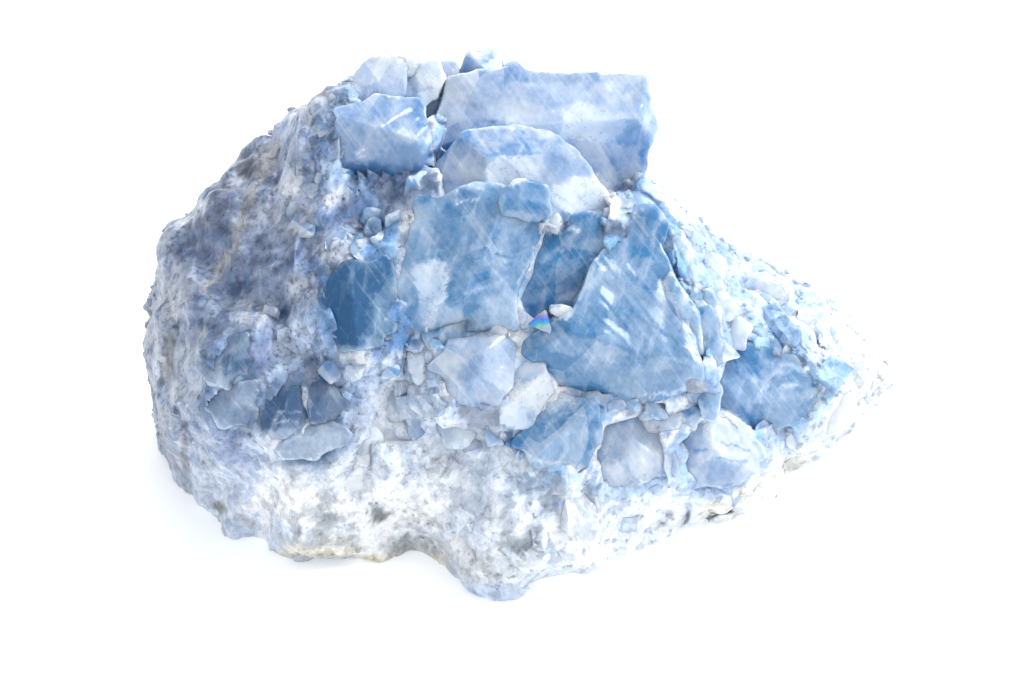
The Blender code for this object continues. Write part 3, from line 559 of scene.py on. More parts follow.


# What shows in and on the crystals and the stone: facets, veils, pits, healed cracks, and painted
# light and shade: faces lighter or darker as the light falls on them, painted shade in hollows,
# pits and gaps, and painted highlights along edges and as glints. Each mark has its light, from 0
# dark to 1 pale or a colour that only the stone takes, how milky it is, how soft its edge is and
# how wide its line is, and its corners, all in pixels of the picture. With no width it is a patch
# with its corners in order round it.
marks = {
    # main crystal
    "ledge, frosted": (0.6, 0.25, 3, 0, (398, 214), (428, 186), (456, 184), (456, 202), (440, 214),
        (400, 236)),
    "left part": (0.4, 0.05, 5, 0, (396, 240), (437, 214), (446, 226), (434, 262), (398, 264)),
    "dark strip": (0.35, 0.0, 2, 0, (482, 187), (503, 186), (502, 222), (496, 240), (486, 222)),
    "dark hollow": (0.32, 0.0, 4, 0, (455, 230), (470, 225), (495, 236), (492, 246), (466, 241)),
    "blue hollow": (0.3, 0.0, 3, 0, (441, 206), (452, 202), (455, 216), (443, 214)),
    "plate, inner": (0.3, 0.0, 1, 0, (460, 194), (468, 190), (479, 189), (478, 199), (461, 199)),
    # Painted highlight: the plate's outline is a white line of light along its edge.
    "plate, outline": (0.9, 0.7, 1, 2, (457, 187), (457, 201), (480, 200), (480, 188), (469, 182),
        (457, 187)),
    "step, dark side": (0.3, 0.0, 1, 0, (505, 187), (519, 184), (519, 201), (504, 203)),
    "step, pale face": (0.6, 0.0, 1, 0, (520, 185), (537, 187), (548, 199), (546, 205), (521, 200)),
    "step, dark band": (0.25, 0.0, 1.5, 5, (506, 204), (526, 203), (548, 210)),
    "pale band": (0.75, 0.1, 2, 0, (503, 209), (520, 211), (541, 216), (520, 223), (505, 222)),
    "strip": (0.5, 0.03, 1.5, 0, (521, 223), (543, 221), (542, 240), (529, 264), (523, 262)),
    "triangle": (0.65, 0.05, 1, 0, (501, 232), (509, 234), (513, 256), (502, 251)),
    "beside the triangle": (0.35, 0.0, 1.5, 0, (509, 234), (519, 236), (517, 254), (513, 255)),
    "dark arc": (0.3, 0.0, 1, 3, (496, 253), (508, 257), (519, 257)),
    "second arc": (0.35, 0.0, 1, 2.5, (498, 262), (507, 265), (514, 262)),
    "pale fold": (0.6, 0.1, 2, 0, (469, 246), (483, 241), (487, 252), (480, 259), (471, 257)),
    "plain face": (0.5, 0.0, 4, 0, (463, 262), (500, 262), (509, 276), (470, 293), (460, 280)),
    "scratch": (0.7, 0.35, 1, 3, (466, 294), (488, 286), (506, 277)),
    # Painted highlight along the block's right edge.
    "right edge": (0.9, 0.6, 1, 2.5, (516, 283), (521, 276), (531, 260), (543, 237), (552, 213)),
    "frost patch": (0.95, 0.9, 2, 0, (430, 258), (445, 262), (449, 284), (444, 300), (433, 318),
        (418, 296)),
    "frost patch, foot": (0.9, 0.7, 2, 0, (418, 296), (433, 300), (436, 318), (428, 330), (420, 312)),
    "left edge": (0.5, 0.15, 3, 0, (391, 272), (404, 262), (416, 282), (416, 300), (400, 320), (391, 300)),
    "slit": (0.2, 0.0, 1, 0, (447, 282), (452, 280), (455, 298), (447, 299)),
    "between the blocks": (0.6, 0.4, 3, 0, (482, 300), (516, 285), (522, 308), (540, 345), (516, 362),
        (494, 330)),
    "low block, dark side": (0.5, 0.0, 1.5, 0, (466, 316), (484, 306), (494, 330), (474, 335)),
    "low block, top": (0.5, 0.0, 1.5, 4, (444, 301), (462, 301), (480, 301)),
    # Painted shade in the nook between the crystals.
    "nook": (0.1, 0.0, 2, 0, (398, 326), (408, 322), (416, 333), (406, 350), (399, 348)),
    # between the main crystal and the wedge
    "recess, top": (0.05, 0.0, 2, 0, (562, 212), (600, 216), (642, 224), (640, 234), (600, 240),
        (562, 237)),
    "recess, white fleck": (0.9, 0.8, 1.5, 4, (569, 231), (577, 230)),
    "recess, second fleck": (0.9, 0.8, 1.5, 3, (606, 230), (613, 230)),
    "chip": (0.95, 0.9, 1, 0, (545, 217), (561, 218), (561, 235), (546, 236)),
    "recess, shelf": (0.4, 0.05, 2, 0, (542, 240), (602, 239), (600, 250), (556, 253), (538, 262)),
    "recess, dark line": (-0.1, 0.0, 1.5, 5, (552, 256), (566, 254), (582, 253)),
    "recess, pale line": (0.7, 0.2, 1.5, 4, (541, 264), (556, 249), (562, 244)),
    "recess, body": (0.28, 0.0, 4, 0, (530, 263), (598, 258), (592, 279), (570, 283), (550, 299),
        (518, 300)),
    "recess, foot": (0.2, 0.0, 2, 6, (528, 304), (550, 304), (576, 303)),
    "recess, lower shelf": (0.75, 0.1, 2, 0, (552, 299), (588, 281), (602, 284), (578, 301)),
    "recess, sliver": (0.1, 0.0, 1, 4, (593, 277), (600, 261)),
    "recess, white tip": (0.9, 0.9, 1, 4, (592, 259), (599, 258)),
    # Painted highlight: the glint beside the rainbow film.
    "glint beside the rainbow": (1.0, 1.0, 1.5, 0, (546, 310), (566, 308), (574, 314), (568, 320), (552, 318)),
    # wedge
    "wedge, face": (0.45, 0.03, 6, 0, (604, 256), (655, 262), (678, 316), (700, 362), (610, 342),
        (582, 325)),
    "wedge, left side": (0.42, 0.0, 4, 0, (577, 305), (600, 303), (606, 334), (582, 328)),
    "wedge, far side": (0.3, 0.02, 2, 0, (655, 291), (667, 296), (677, 312), (668, 319), (657, 305)),
    "wedge, inner line": (0.3, 0.0, 1.5, 3, (646, 312), (662, 330), (678, 344)),
    "wedge, second line": (0.35, 0.0, 1.5, 3, (620, 262), (640, 282), (654, 300)),
    "wedge, grey facet": (0.62, 0.05, 1.5, 0, (527, 345), (552, 328), (575, 328), (612, 345),
        (640, 352), (600, 362)),
    "wedge, dark chip": (0.1, 0.0, 1, 0, (633, 344), (640, 363), (632, 357)),
    "wedge, lower face": (0.4, 0.0, 2, 0, (556, 361), (640, 353), (700, 370), (690, 386), (640, 397),
        (586, 388)),
    "wedge, dark foot": (0.35, 0.05, 2.5, 7, (572, 378), (584, 388), (606, 400), (630, 411)),
    "wedge, dark shelf": (0.4, 0.1, 2, 6, (536, 359), (556, 366), (580, 372)),
    # Painted highlights along the wedge's foot, its right edge and a fine edge above it.
    "wedge, foot line": (0.9, 0.6, 1, 2.5, (640, 397), (672, 392), (702, 380)),
    "wedge, white edge": (1.0, 0.9, 1, 0, (682, 321), (688, 326), (703, 366), (699, 366), (686, 343)),
    "wedge, fine edge": (0.9, 0.6, 1, 2, (660, 289), (670, 298), (681, 314)),
    "blue triangle": (0.9, 0.0, 1, 0, (641, 403), (673, 400), (663, 425)),
    "pale bar": (0.75, 0.5, 1.5, 8, (667, 422), (682, 404), (700, 392)),
    "side, dark": (0.0, 0.0, 2, 0, (637, 217), (655, 221), (662, 240), (652, 259), (632, 257), (628, 236)),
    "side, pale tip": (0.95, 0.8, 1.5, 0, (659, 279), (666, 278), (668, 290), (660, 289)),
    # right wedge
    "right wedge, dark": (0.35, 0.03, 3, 0, (734, 348), (750, 344), (760, 360), (760, 378),
        (748, 374), (736, 358)),
    "right wedge, dark two": (0.35, 0.0, 3, 0, (768, 376), (796, 372), (790, 386), (766, 392)),
    "right wedge, dark top": (0.4, 0.0, 2, 6, (764, 350), (786, 356), (800, 362)),
    "right wedge, veil": (0.8, 0.6, 2.5, 5, (760, 400), (766, 380), (782, 364), (806, 372)),
    "right wedge, fleck": (0.9, 0.7, 2, 4, (784, 386), (797, 384)),
    "right wedge, left side": (0.6, 0.15, 3, 0, (703, 358), (732, 350), (744, 392), (735, 408), (704, 407)),
    "right wedge, pale band": (0.7, 0.05, 1.5, 0, (762, 394), (800, 386), (822, 388), (816, 397),
        (780, 400)),
    "right wedge, low face": (0.4, 0.05, 1, 0, (742, 405), (812, 399), (800, 414), (796, 431),
        (766, 437), (750, 416)),
    # slab
    "slab, top band": (0.45, 0.0, 2, 0, (500, 66), (560, 65), (642, 73), (646, 81), (560, 82), (500, 82)),
    "slab, pale middle": (0.65, 0.1, 6, 0, (520, 88), (600, 86), (604, 108), (560, 108), (522, 112)),
    "slab, veil": (1.0, 0.9, 3, 0, (560, 108), (592, 100), (604, 128), (612, 143), (574, 141), (560, 128)),
    "slab, veil, left": (0.75, 0.4, 4, 0, (506, 119), (540, 113), (562, 112), (562, 132), (540, 140),
        (520, 132)),
    "slab, right side": (0.25, 0.02, 4, 0, (612, 84), (645, 80), (657, 125), (646, 188), (640, 150),
        (616, 120)),
    "slab, right glow": (0.7, 0.3, 3, 0, (617, 86), (633, 82), (634, 96), (621, 98)),
    "slab, low facet": (0.7, 0.25, 2, 0, (568, 140), (640, 146), (640, 178), (624, 190), (602, 172),
        (572, 152)),
    "slab, low streaks": (0.6, 0.4, 2, 3, (582, 148), (604, 160), (626, 178)),
    "slab, low streaks two": (0.6, 0.4, 2, 3, (604, 146), (622, 158), (638, 172)),
    "slab, left": (0.55, 0.02, 6, 0, (440, 100), (470, 72), (500, 70), (510, 116), (470, 118), (444, 130)),
    "knob, dark": (0.3, 0.0, 2, 4, (486, 62), (494, 58)),
    # crown
    "crown, dark line": (0.15, 0.0, 1.5, 4, (436, 158), (452, 150), (470, 131), (483, 120), (500, 123)),
    "crown, smooth": (0.5, 0.0, 4, 0, (474, 132), (486, 123), (512, 122), (516, 140), (500, 152),
        (478, 152)),
    "crown, left": (0.65, 0.4, 4, 0, (432, 162), (446, 156), (480, 158), (482, 178), (440, 182),
        (432, 174)),
    "crown, white": (1.0, 0.9, 2, 0, (487, 166), (495, 156), (530, 159), (534, 180), (500, 186),
        (488, 183)),
    "crown, grey": (0.35, 0.15, 5, 0, (540, 142), (566, 142), (600, 160), (596, 178), (560, 180),
        (544, 162)),
    "crown, white right": (1.0, 0.9, 3, 0, (552, 186), (600, 174), (620, 200), (615, 216), (572, 210),
        (552, 203)),
    "crown, right side": (0.3, 0.0, 2, 7, (612, 160), (622, 184), (629, 208)),
    # upper left block
    "block, dark": (0.0, 0.0, 3, 0, (402, 97), (418, 94), (426, 104), (412, 117), (402, 116)),
    # Painted highlight on the block's face; the next mark darkens a line in its middle.
    "block, highlight": (0.5, 0.3, 2, 0, (414, 118), (430, 117), (437, 126), (422, 138), (412, 136)),
    "block, highlight, inner": (0.2, 0.0, 1.5, 4, (418, 124), (430, 125)),
    "block, face": (0.3, 0.03, 6, 0, (345, 112), (372, 96), (398, 98), (400, 140), (370, 150), (345, 142)),
    "block, left": (0.25, 0.0, 4, 0, (330, 120), (345, 116), (350, 150), (342, 162), (330, 155)),
    "block, glint": (0.95, 0.8, 2, 0, (356, 150), (364, 147), (366, 156), (358, 158)),
    # Painted shade in the hollow and the pits between the crystals, over the deep blue there.
    "hollow": (-0.3, 0.0, 3, 0, (346, 164), (384, 160), (394, 170), (372, 186), (348, 182)),
    "hollow, right": (-0.1, 0.0, 2, 6, (376, 184), (394, 176), (414, 170)),
    "pit": (-0.3, 0.0, 2, 7, (424, 158), (436, 152), (446, 147)),
    "pit, left": (-0.2, 0.0, 2, 6, (400, 167), (407, 163)),
    "cap": (0.75, 0.4, 4, 0, (355, 72), (362, 57), (396, 58), (404, 74), (380, 84), (358, 86)),
    "middle cap": (0.85, 0.6, 3, 0, (408, 62), (440, 57), (456, 62), (440, 76), (430, 90), (410, 80)),
    "cap, fold": (0.35, 0.1, 2, 4, (410, 78), (418, 91), (428, 88)),
    # deep crystal and the left ones
    "deep, middle": (-0.3, 0.0, 3, 9, (358, 282), (362, 304), (358, 326)),
    "deep, left edge": (-0.1, 0.0, 2, 7, (329, 284), (333, 296), (346, 312)),
    "deep, pale lines": (0.55, 0.3, 1.5, 2.5, (376, 292), (380, 308), (378, 330)),
    "deep, right": (0.25, 0.0, 3, 9, (386, 280), (390, 300), (388, 346)),
    "under the deep one": (0.6, 0.25, 4, 0, (336, 344), (372, 348), (372, 366), (336, 362)),
    "deep, milky foot": (0.5, 0.2, 3, 5, (364, 336), (374, 344), (388, 340)),
    "dark, lower line": (0.6, 0.5, 1, 2, (276, 422), (297, 420)),
    "dark, upper line": (0.6, 0.4, 1, 2, (278, 413), (298, 411)),
    "dark, top": (-0.3, 0.0, 2, 6, (288, 396), (294, 388), (297, 402)),
    "between the dark ones": (0.6, 0.3, 2, 9, (305, 392), (306, 404)),
    "left, upper": (0.05, 0.0, 3, 0, (219, 366), (230, 352), (254, 346), (261, 360), (240, 372),
        (224, 378)),
    "left, lower, face": (0.5, 0.1, 2, 0, (206, 402), (214, 394), (226, 396), (222, 416), (208, 414)),
    "left, lower, dark": (0.25, 0.1, 4, 0, (226, 414), (242, 402), (256, 412), (252, 434), (234, 430)),
    "under, facet": (1.0, 0.4, 2, 0, (302, 424), (322, 424), (346, 438), (312, 454), (302, 450)),
    "under, left": (0.9, 0.2, 2, 0, (264, 432), (296, 428), (300, 446), (286, 450), (270, 444)),
    "hexagon, dark side": (0.2, 0.0, 2, 0, (322, 366), (330, 358), (342, 360), (346, 376), (330, 378)),
    "blue facet": (0.3, 0.0, 2, 0, (304, 360), (317, 360), (320, 386), (306, 384)),
    # Painted highlights along the edges of the square and the outlined crystal.
    "square, lower edge": (0.95, 0.8, 1, 2.5, (377, 381), (401, 380)),
    "square, upper edge": (0.95, 0.8, 1, 2.5, (383, 361), (400, 361)),
    "outlined, edge": (0.95, 0.8, 1, 2.5, (406, 374), (411, 353), (431, 347), (437, 357)),
    # round and front crystals
    "round, top": (0.8, 0.15, 3, 0, (462, 340), (484, 331), (502, 342), (500, 356), (462, 358)),
    "round, blue": (0.4, 0.0, 3, 0, (461, 366), (474, 362), (478, 374), (464, 386)),
    "round, low": (0.35, 0.0, 4, 0, (454, 404), (480, 400), (502, 410), (500, 426), (466, 430)),
    "below the round": (0.45, 0.1, 4, 0, (464, 432), (500, 424), (504, 440), (476, 456)),
    # Painted shade in the gap between the crystals.
    "dark gap": (-0.1, 0.0, 1.5, 0, (506, 426), (516, 432), (524, 440), (520, 450), (503, 444)),
    "frosted mass": (0.95, 0.85, 4, 0, (510, 392), (545, 371), (566, 388), (580, 404), (556, 412),
        (512, 408)),
    "frosted mass, shade": (0.4, 0.1, 3, 4, (530, 414), (542, 420)),
    "front, arc": (0.85, 0.5, 1, 2, (542, 436), (552, 420), (568, 412)),
    "front, streak": (0.85, 0.5, 1, 2, (568, 404), (582, 418), (596, 440)),
    "front, streak two": (0.8, 0.4, 1, 2, (562, 414), (578, 426), (588, 440)),
    "front, dark side": (0.25, 0.0, 3, 0, (574, 420), (598, 424), (596, 446), (584, 466), (574, 444)),
    "middle dome": (0.8, 0.2, 5, 0, (604, 424), (640, 418), (664, 430), (664, 466), (630, 484), (604, 470)),
    "right dome": (1.0, 0.5, 5, 0, (690, 420), (735, 418), (754, 440), (756, 470), (728, 484), (690, 474)),
    "middle dome, top": (0.7, 0.3, 3, 0, (618, 424), (642, 416), (662, 424), (662, 440), (624, 438)),
    # Painted highlights along the domes' edges.
    "middle dome, edge": (0.9, 0.6, 1, 2.5, (600, 452), (602, 428), (616, 416), (644, 416)),
    "right dome, edge": (0.95, 0.7, 1, 3, (668, 446), (680, 422), (702, 411), (730, 411), (748, 424),
        (758, 462)),
    "right dome, streak": (0.25, 0.0, 1, 2, (716, 441), (734, 446), (750, 451)),
    "right dome, streak two": (0.3, 0.0, 1, 2, (712, 457), (730, 460), (746, 463)),
    "right dome, short": (0.1, 0.0, 1.5, 3, (694, 451), (707, 450)),
    "right dome, top": (0.9, 0.5, 4, 0, (690, 416), (730, 416), (746, 432), (716, 436), (686, 432)),
    "right dome, blue": (0.5, 0.0, 4, 0, (690, 464), (712, 458), (742, 466), (736, 480), (698, 482)),
    # right flank
    "flank, lavender": (0.6, 0.0, 3, 0, (672, 242), (680, 224), (700, 228), (706, 244), (690, 250)),
    # Painted highlights: the white glint and the glint bar on the flank.
    "flank, white glint": (1.0, 1.0, 1.5, 0, (684, 217), (698, 212), (704, 218), (699, 226)),
    "flank, glint bar": (0.9, 0.6, 1, 4, (685, 253), (699, 249)),
    "flank, grey": (0.6, 0.0, 3, 0, (705, 250), (713, 248), (716, 262), (706, 262)),
    "flank, dark": (0.35, 0.0, 2, 0, (679, 280), (692, 281), (692, 289), (681, 287)),
    "flank, arc": (0.4, 0.0, 1.5, 4, (689, 298), (700, 292), (711, 294), (717, 303)),
    "flank, facet": (0.45, 0.0, 3, 0, (686, 300), (701, 297), (705, 316), (690, 320)),
    "flank, pale facet": (0.7, 0.1, 3, 0, (703, 300), (716, 304), (720, 332), (706, 326)),
    "flank, dome rim": (0.55, 0.0, 2, 4, (749, 300), (760, 310), (776, 311), (787, 304), (788, 292)),
    "flank, dome": (0.85, 0.4, 3, 0, (754, 280), (774, 278), (784, 292), (776, 304), (758, 302)),
    "flank, glint": (1.0, 1.0, 1.5, 0, (789, 312), (795, 310), (797, 322), (790, 323)),
    "flank, second glint": (1.0, 1.0, 1.5, 5, (808, 320), (813, 321)),
    "flank, grains": (0.9, 0.5, 3, 9, (736, 306), (742, 322), (744, 336)),
    # Painted shade under the overhanging tip: grey-blue, and on the rock's beige underside.
    "under the tip, blue": ("#B9CBDD", 0, 3, 0, (802, 452), (820, 436), (838, 428), (832, 446), (812, 456)),
    "under the tip, beige": ("#CFCDC4", 0, 4, 14, (706, 512), (742, 496), (772, 474), (804, 458)),
    # stone on the left
    # Painted shadow on the rock's upper rim.
    "rim, painted shadow": (0.5, 0.1, 4, 0, (296, 112), (322, 90), (336, 92), (308, 126)),
    "rim, upper patch": ("#6A7288", 0, 5, 0, (236, 152), (262, 145), (272, 160), (256, 186), (236, 178)),
    "rim, dark spot": ("#474E62", 0, 3, 0, (243, 162), (252, 159), (257, 167), (250, 176), (244, 173)),
    "beige strip": ("#A6A6A8", 0, 6, 10, (276, 146), (262, 176), (246, 210), (232, 250), (206, 290)),
    "slate patch": ("#5C6C8C", 0, 5, 0, (186, 226), (206, 207), (223, 205), (230, 222), (226, 240),
        (190, 244)),
    "slate patch, dark": ("#3E4D6C", 0, 3, 7, (206, 214), (214, 222), (224, 232)),
    "slate patch, left": ("#46536E", 0, 3, 5, (178, 252), (186, 243), (196, 240)),
    "pale patch": (0.6, 0.05, 5, 0, (283, 168), (303, 163), (308, 190), (291, 200), (278, 195)),
    "blue slope": (0.3, 0.0, 6, 0, (260, 208), (300, 202), (318, 206), (316, 222), (290, 235), (262, 234)),
    "white cap": (0.45, 0.05, 2, 0, (319, 194), (342, 184), (362, 185), (346, 200), (328, 214)),
    "ridge shadow": (0.1, 0.0, 2, 5, (262, 250), (300, 236), (330, 222), (346, 206), (368, 194)),
    "dark slot": (-0.1, 0.0, 2, 6, (290, 262), (303, 242)),
    "dark slot, right": (0.15, 0.0, 3, 0, (302, 262), (304, 250), (316, 240), (314, 264)),
    "blue field": (0.4, 0.0, 5, 0, (318, 236), (360, 214), (368, 240), (352, 262), (330, 274), (316, 262)),
    "blue spots": (-0.05, 0.0, 3, 7, (230, 292), (246, 284), (264, 280)),
    "above the spots": (0.2, 0.0, 4, 0, (248, 264), (262, 254), (274, 264), (264, 278), (250, 276)),
    "pale field": (0.35, 0.05, 5, 0, (222, 302), (262, 296), (276, 310), (262, 328), (234, 324)),
    "dark spot": (-0.1, 0.0, 2, 7, (202, 324), (205, 325)),
    "second spot": (0.0, 0.0, 2, 5, (175, 325), (178, 326)),
    "third spot": (0.0, 0.0, 2, 7, (283, 318), (288, 308)),
    "dark nook": (0.0, 0.0, 2, 0, (326, 284), (336, 280), (338, 296), (331, 300)),
    "blue ridge": (0.15, 0.0, 4, 9, (202, 344), (222, 332), (244, 330)),
    "dark streak": (0.15, 0.0, 3, 6, (258, 362), (264, 378), (270, 392)),
    "black mark": ("#2F3546", 0, 1.5, 7, (182, 430), (187, 423)),
    "rim, grey": ("#83868E", 0, 4, 8, (171, 336), (168, 354), (168, 374)),
    "rim, low streak": ("#7C8291", 0, 3, 6, (187, 438), (183, 456), (188, 470)),
    "pale blue patch": (0.5, 0.0, 4, 0, (385, 396), (400, 388), (412, 393), (408, 406), (395, 412)),
    # lower band
    "round, left": (0.85, 0.2, 4, 0, (434, 360), (458, 356), (460, 400), (444, 398)),
    "low, pale": (0.8, 0.3, 4, 0, (438, 306), (462, 306), (466, 330), (440, 334)),
    "front, middle": (0.2, 0.0, 4, 0, (562, 436), (590, 440), (586, 470), (560, 466)),
    "front, right side": (0.8, 0.2, 3, 0, (596, 430), (606, 426), (606, 470), (592, 470)),
    "beside the deep one": ("#5A8ABB", 0, 5, 0, (388, 290), (400, 292), (410, 322), (408, 350), (384, 350)),
    "flank by the wedge": ("#8FAFDA", 0, 9, 0, (688, 226), (716, 232), (724, 276), (696, 282)),
    "corner of the wedge": ("#86A4CF", 0, 6, 0, (688, 366), (722, 366), (722, 400), (688, 402)),
    "grey foot of the dark facet": ("#8E9DB8", 0, 6, 0, (376, 182), (416, 182), (420, 214), (384, 214)),
    "slate patch, low": ("#7E8FB0", 0, 8, 0, (206, 430), (240, 436), (246, 462), (214, 464)),
    "blue-grey below the field": ("#7084AC", 0, 6, 0, (242, 338), (268, 338), (272, 364), (246, 366)),
    "beside the slot": (0.45, 0.1, 6, 0, (280, 276), (316, 272), (326, 298), (290, 304)),
    "between the wedges": (0.4, 0.1, 3, 0, (686, 372), (703, 362), (708, 400), (690, 404)),
    "slate patch, upper": ("#66718E", 0, 6, 0, (204, 196), (226, 176), (240, 186), (234, 208), (210, 212)),
    "above the main crystal": (0.1, 0.0, 5, 0, (392, 176), (438, 170), (442, 194), (412, 208), (388, 204)),
    "grey grains, middle": ("#B4B9BE", 0, 6, 16, (306, 508), (330, 518), (316, 534)),
    "grey grains": ("#A3A9B1", 0, 3, 9, (296, 514), (297, 534)),
    "grey grains, upper": ("#BABFC5", 0, 3, 12, (322, 488), (332, 494)),
    "grey wedge": ("#868D93", 0, 2, 0, (373, 503), (394, 515), (382, 522), (370, 522)),
    "boundary": ("#CDD2D8", 0, 1.5, 3, (360, 500), (386, 507), (406, 519), (430, 536), (446, 553)),
    "brown grains": ("#8A8A80", 0, 2, 7, (216, 506), (222, 510)),
    "grey smear": ("#A2A3A2", 0, 3, 6, (240, 516), (252, 524)),
    "grains, low": ("#B4B3AB", 0, 3, 7, (346, 541), (356, 550)),
    # The rock's beige along the bottom edge, darkened by painted shade of the underside.
    "beige edge": ("#D6D1BC", 0, 4, 8, (286, 552), (330, 553), (380, 560), (440, 560)),
    # Painted highlight along the plates' edge.
    "plates, edge": (1.0, 0.6, 1.5, 3, (478, 457), (500, 446), (540, 460), (580, 468), (610, 486)),
    "plate, grey": ("#C0CDDF", 0, 4, 0, (484, 458), (502, 450), (544, 464), (550, 474), (500, 474)),
    "plate, blue": ("#97B0D2", 0, 3, 0, (530, 488), (545, 477), (560, 480), (544, 492)),
    "plate, low blue": ("#9FB5D6", 0, 3, 7, (552, 500), (562, 506), (572, 502)),
    "plate, dark dot": ("#8393AB", 0, 2, 6, (543, 510), (546, 506)),
    "grey patch": ("#D0D6DE", 0, 4, 9, (494, 502), (502, 514)),
    "grey hollow": ("#98A1AC", 0, 4, 0, (497, 541), (520, 535), (542, 530), (534, 546), (510, 556)),
    "grey hollow, left": ("#D6DADF", 0, 6, 14, (452, 546), (470, 558), (486, 574)),
    "grey hollow, right": ("#BAC4D1", 0, 4, 0, (520, 518), (540, 516), (546, 530), (526, 534)),
    "beige dot": ("#D3C2AA", 0, 2, 5, (456, 539), (460, 541)),
}


# How far the marks' edges wander: wavelength in mm, pixels
markWander = ((1.6, 1.4), (0.5, 0.9))


def markCover(seen, soft, wide, corners):
    # How far places lie in a mark, 0 to 1. A patch: the farthest that they lie outside any of its
    # sides. A line: their distance from its nearest stretch, less half its width.
    corners = np.array(corners, float)
    if wide:
        starts, run = corners[:-1], np.diff(corners, axis=0)
        off = seen[:, None] - starts
        part = np.clip((off * run).sum(axis=2) / (run ** 2).sum(axis=1), 0, 1)
        away = np.linalg.norm(off - part[..., None] * run, axis=2).min(axis=1) - wide / 2
    else:
        run = np.roll(corners, -1, axis=0) - corners
        off = seen[:, None] - corners
        side = (off[..., 1] * run[:, 0] - off[..., 0] * run[:, 1]) / np.linalg.norm(run, axis=1)
        middle = corners.mean(axis=0) - corners
        turn = np.sign(middle[:, 1] * run[:, 0] - middle[:, 0] * run[:, 1])
        away = (-side * turn).max(axis=1)
    return smoothStep(soft, -soft, away)


def marksOn(points):
    # Each mark that reaches some of the points: its cover there, its light and its milkiness.
    seen = toPicture(points)
    for size, pixels in markWander:
        seen = seen + np.stack([waveNoise(points, size, 60 + k) for k in range(2)], axis=1) * pixels
    for light, milky, soft, wide, *corners in marks.values():
        reach = np.array(corners, float)
        margin = soft + wide
        near = ((seen > reach.min(axis=0) - margin) & (seen < reach.max(axis=0) + margin)).all(axis=1)
        if near.any():
            cover = np.zeros(len(points))
            cover[near] = markCover(seen[near], soft, wide, corners)
            yield cover, light, milky


# Where the ground under the crystals changes colour, on the slope in mm: centre across and
# uphill, radius across and uphill, colour and strength.
groundZones = {
    "among the main crystals": (3.0, 17.0, 17.0, 14.0, "#82AFE0", 0.95),
    "white band, lower left": (-18.5, -3.5, 12.0, 6.0, "#FFFFFF", 0.95),
    "white band, lower right": (9.0, -7.0, 17.0, 7.0, "#E4EBF5", 1.0),
    "pale middle": (-13.0, 4.0, 12.0, 8.0, "#E2EBF8", 1.0),
    "grey plates": (0.5, -4.5, 4.0, 4.0, "#BCC9DB", 0.8),
    "left flank": (-38.0, 12.0, 7.0, 18.0, "#A0A9BA", 0.9),
    "blue-grey field, left": (-30.5, 20.0, 8.0, 9.0, "#7486A8", 0.9),
    "rise, upper left": (-24.0, 33.0, 7.0, 7.0, "#92A1C0", 0.95),
    "centre left": (-18.0, 26.0, 7.0, 7.0, "#6184B6", 0.95),
    "left of the main crystal": (-14.6, 24.0, 3.6, 11.0, "#5A86BC", 0.95),
    "round the left crystals": (-24.5, 8.5, 9.0, 7.0, "#BFD0EC", 0.9),
    "right flank by the crystals": (21.0, 19.0, 7.0, 11.0, "#86A9D6", 0.95),
    "right flank": (28.0, 17.0, 10.0, 10.0, "#B0C8E8", 0.9),
    "tip": (39.0, 9.0, 9.0, 8.0, "#EEF4FC", 1.0),
    # Under the tip and along the lower edge: the rock's beige, greyed by painted shade of the underside.
    "under the tip": (26.0, -4.5, 10.0, 3.5, "#EFEDE6", 0.8),
    "lower edge": (-17.0, -11.0, 16.0, 2.6, "#B4B4AE", 0.8),
}
ground = {
    "body": "#C9D6EA",
    "rind": "#8A94A8",
    "dark": "#34557F",  # a mark's colour at light 0 and 1
    "pale": "#E8EFFA",
    "milk": 0.8,  # how far a milky mark goes to white
    "zoneEdge": (1.25, 0.55),  # shares of a zone's radius between which it fades
    "zoneWander": (6.0, 1.3),  # mm wavelength and reach
    "crystalTint": 0.3,  # share of its light colour that a crystal lends
    "rootStrength": 1.2,
    "rootReach": 1.6,  # mm over which the colour of a large crystal beside it fades
    "slopeFacing": (0.0, 0.3),  # how far a surface faces the viewer's side where marks start and are full
    "rindFacing": (0.45, -0.15),  # and where rind starts and is full
    "rindShare": (0.35, 0.9),  # on the right, and on the left
    "rindAcross": (25.0, -25.0),
    "dullAcross": (-4.0, -20.0),
    "dullBehind": (30.0, 0.0),
    "bandAcross": (-29.0, -23.0),  # where the lower band's white edge steps up
    "bandUphill": (3.0, 6.0, 5.0),  # its height on the left, the step and its softness
    "bandFacing": (-0.1, 0.3),
    "bandWhite": 0.75,
}


def nearCrystals(spot):
    # Distance in mm on the slope from each place to the nearest large crystal's side faces, and
    # that crystal's colour.
    near = np.full(len(spot), farAway)
    colour = np.zeros((len(spot), 3))
    tint = ground["crystalTint"]
    for spec in allCrystals:
        share, reach = footprint(spec, spot)
        above = spot[:, 2] > spec["out"] - spec["depth"]
        beside = np.where(above, np.maximum((share - 1) * reach, 0), farAway)
        own = crystalFinish["kinds"][spec["kind"]]
        colour[beside < near] = (1 - tint) * linear(own["dark"]) + tint * linear(own["light"])
        near = np.minimum(near, beside)
    return near, colour


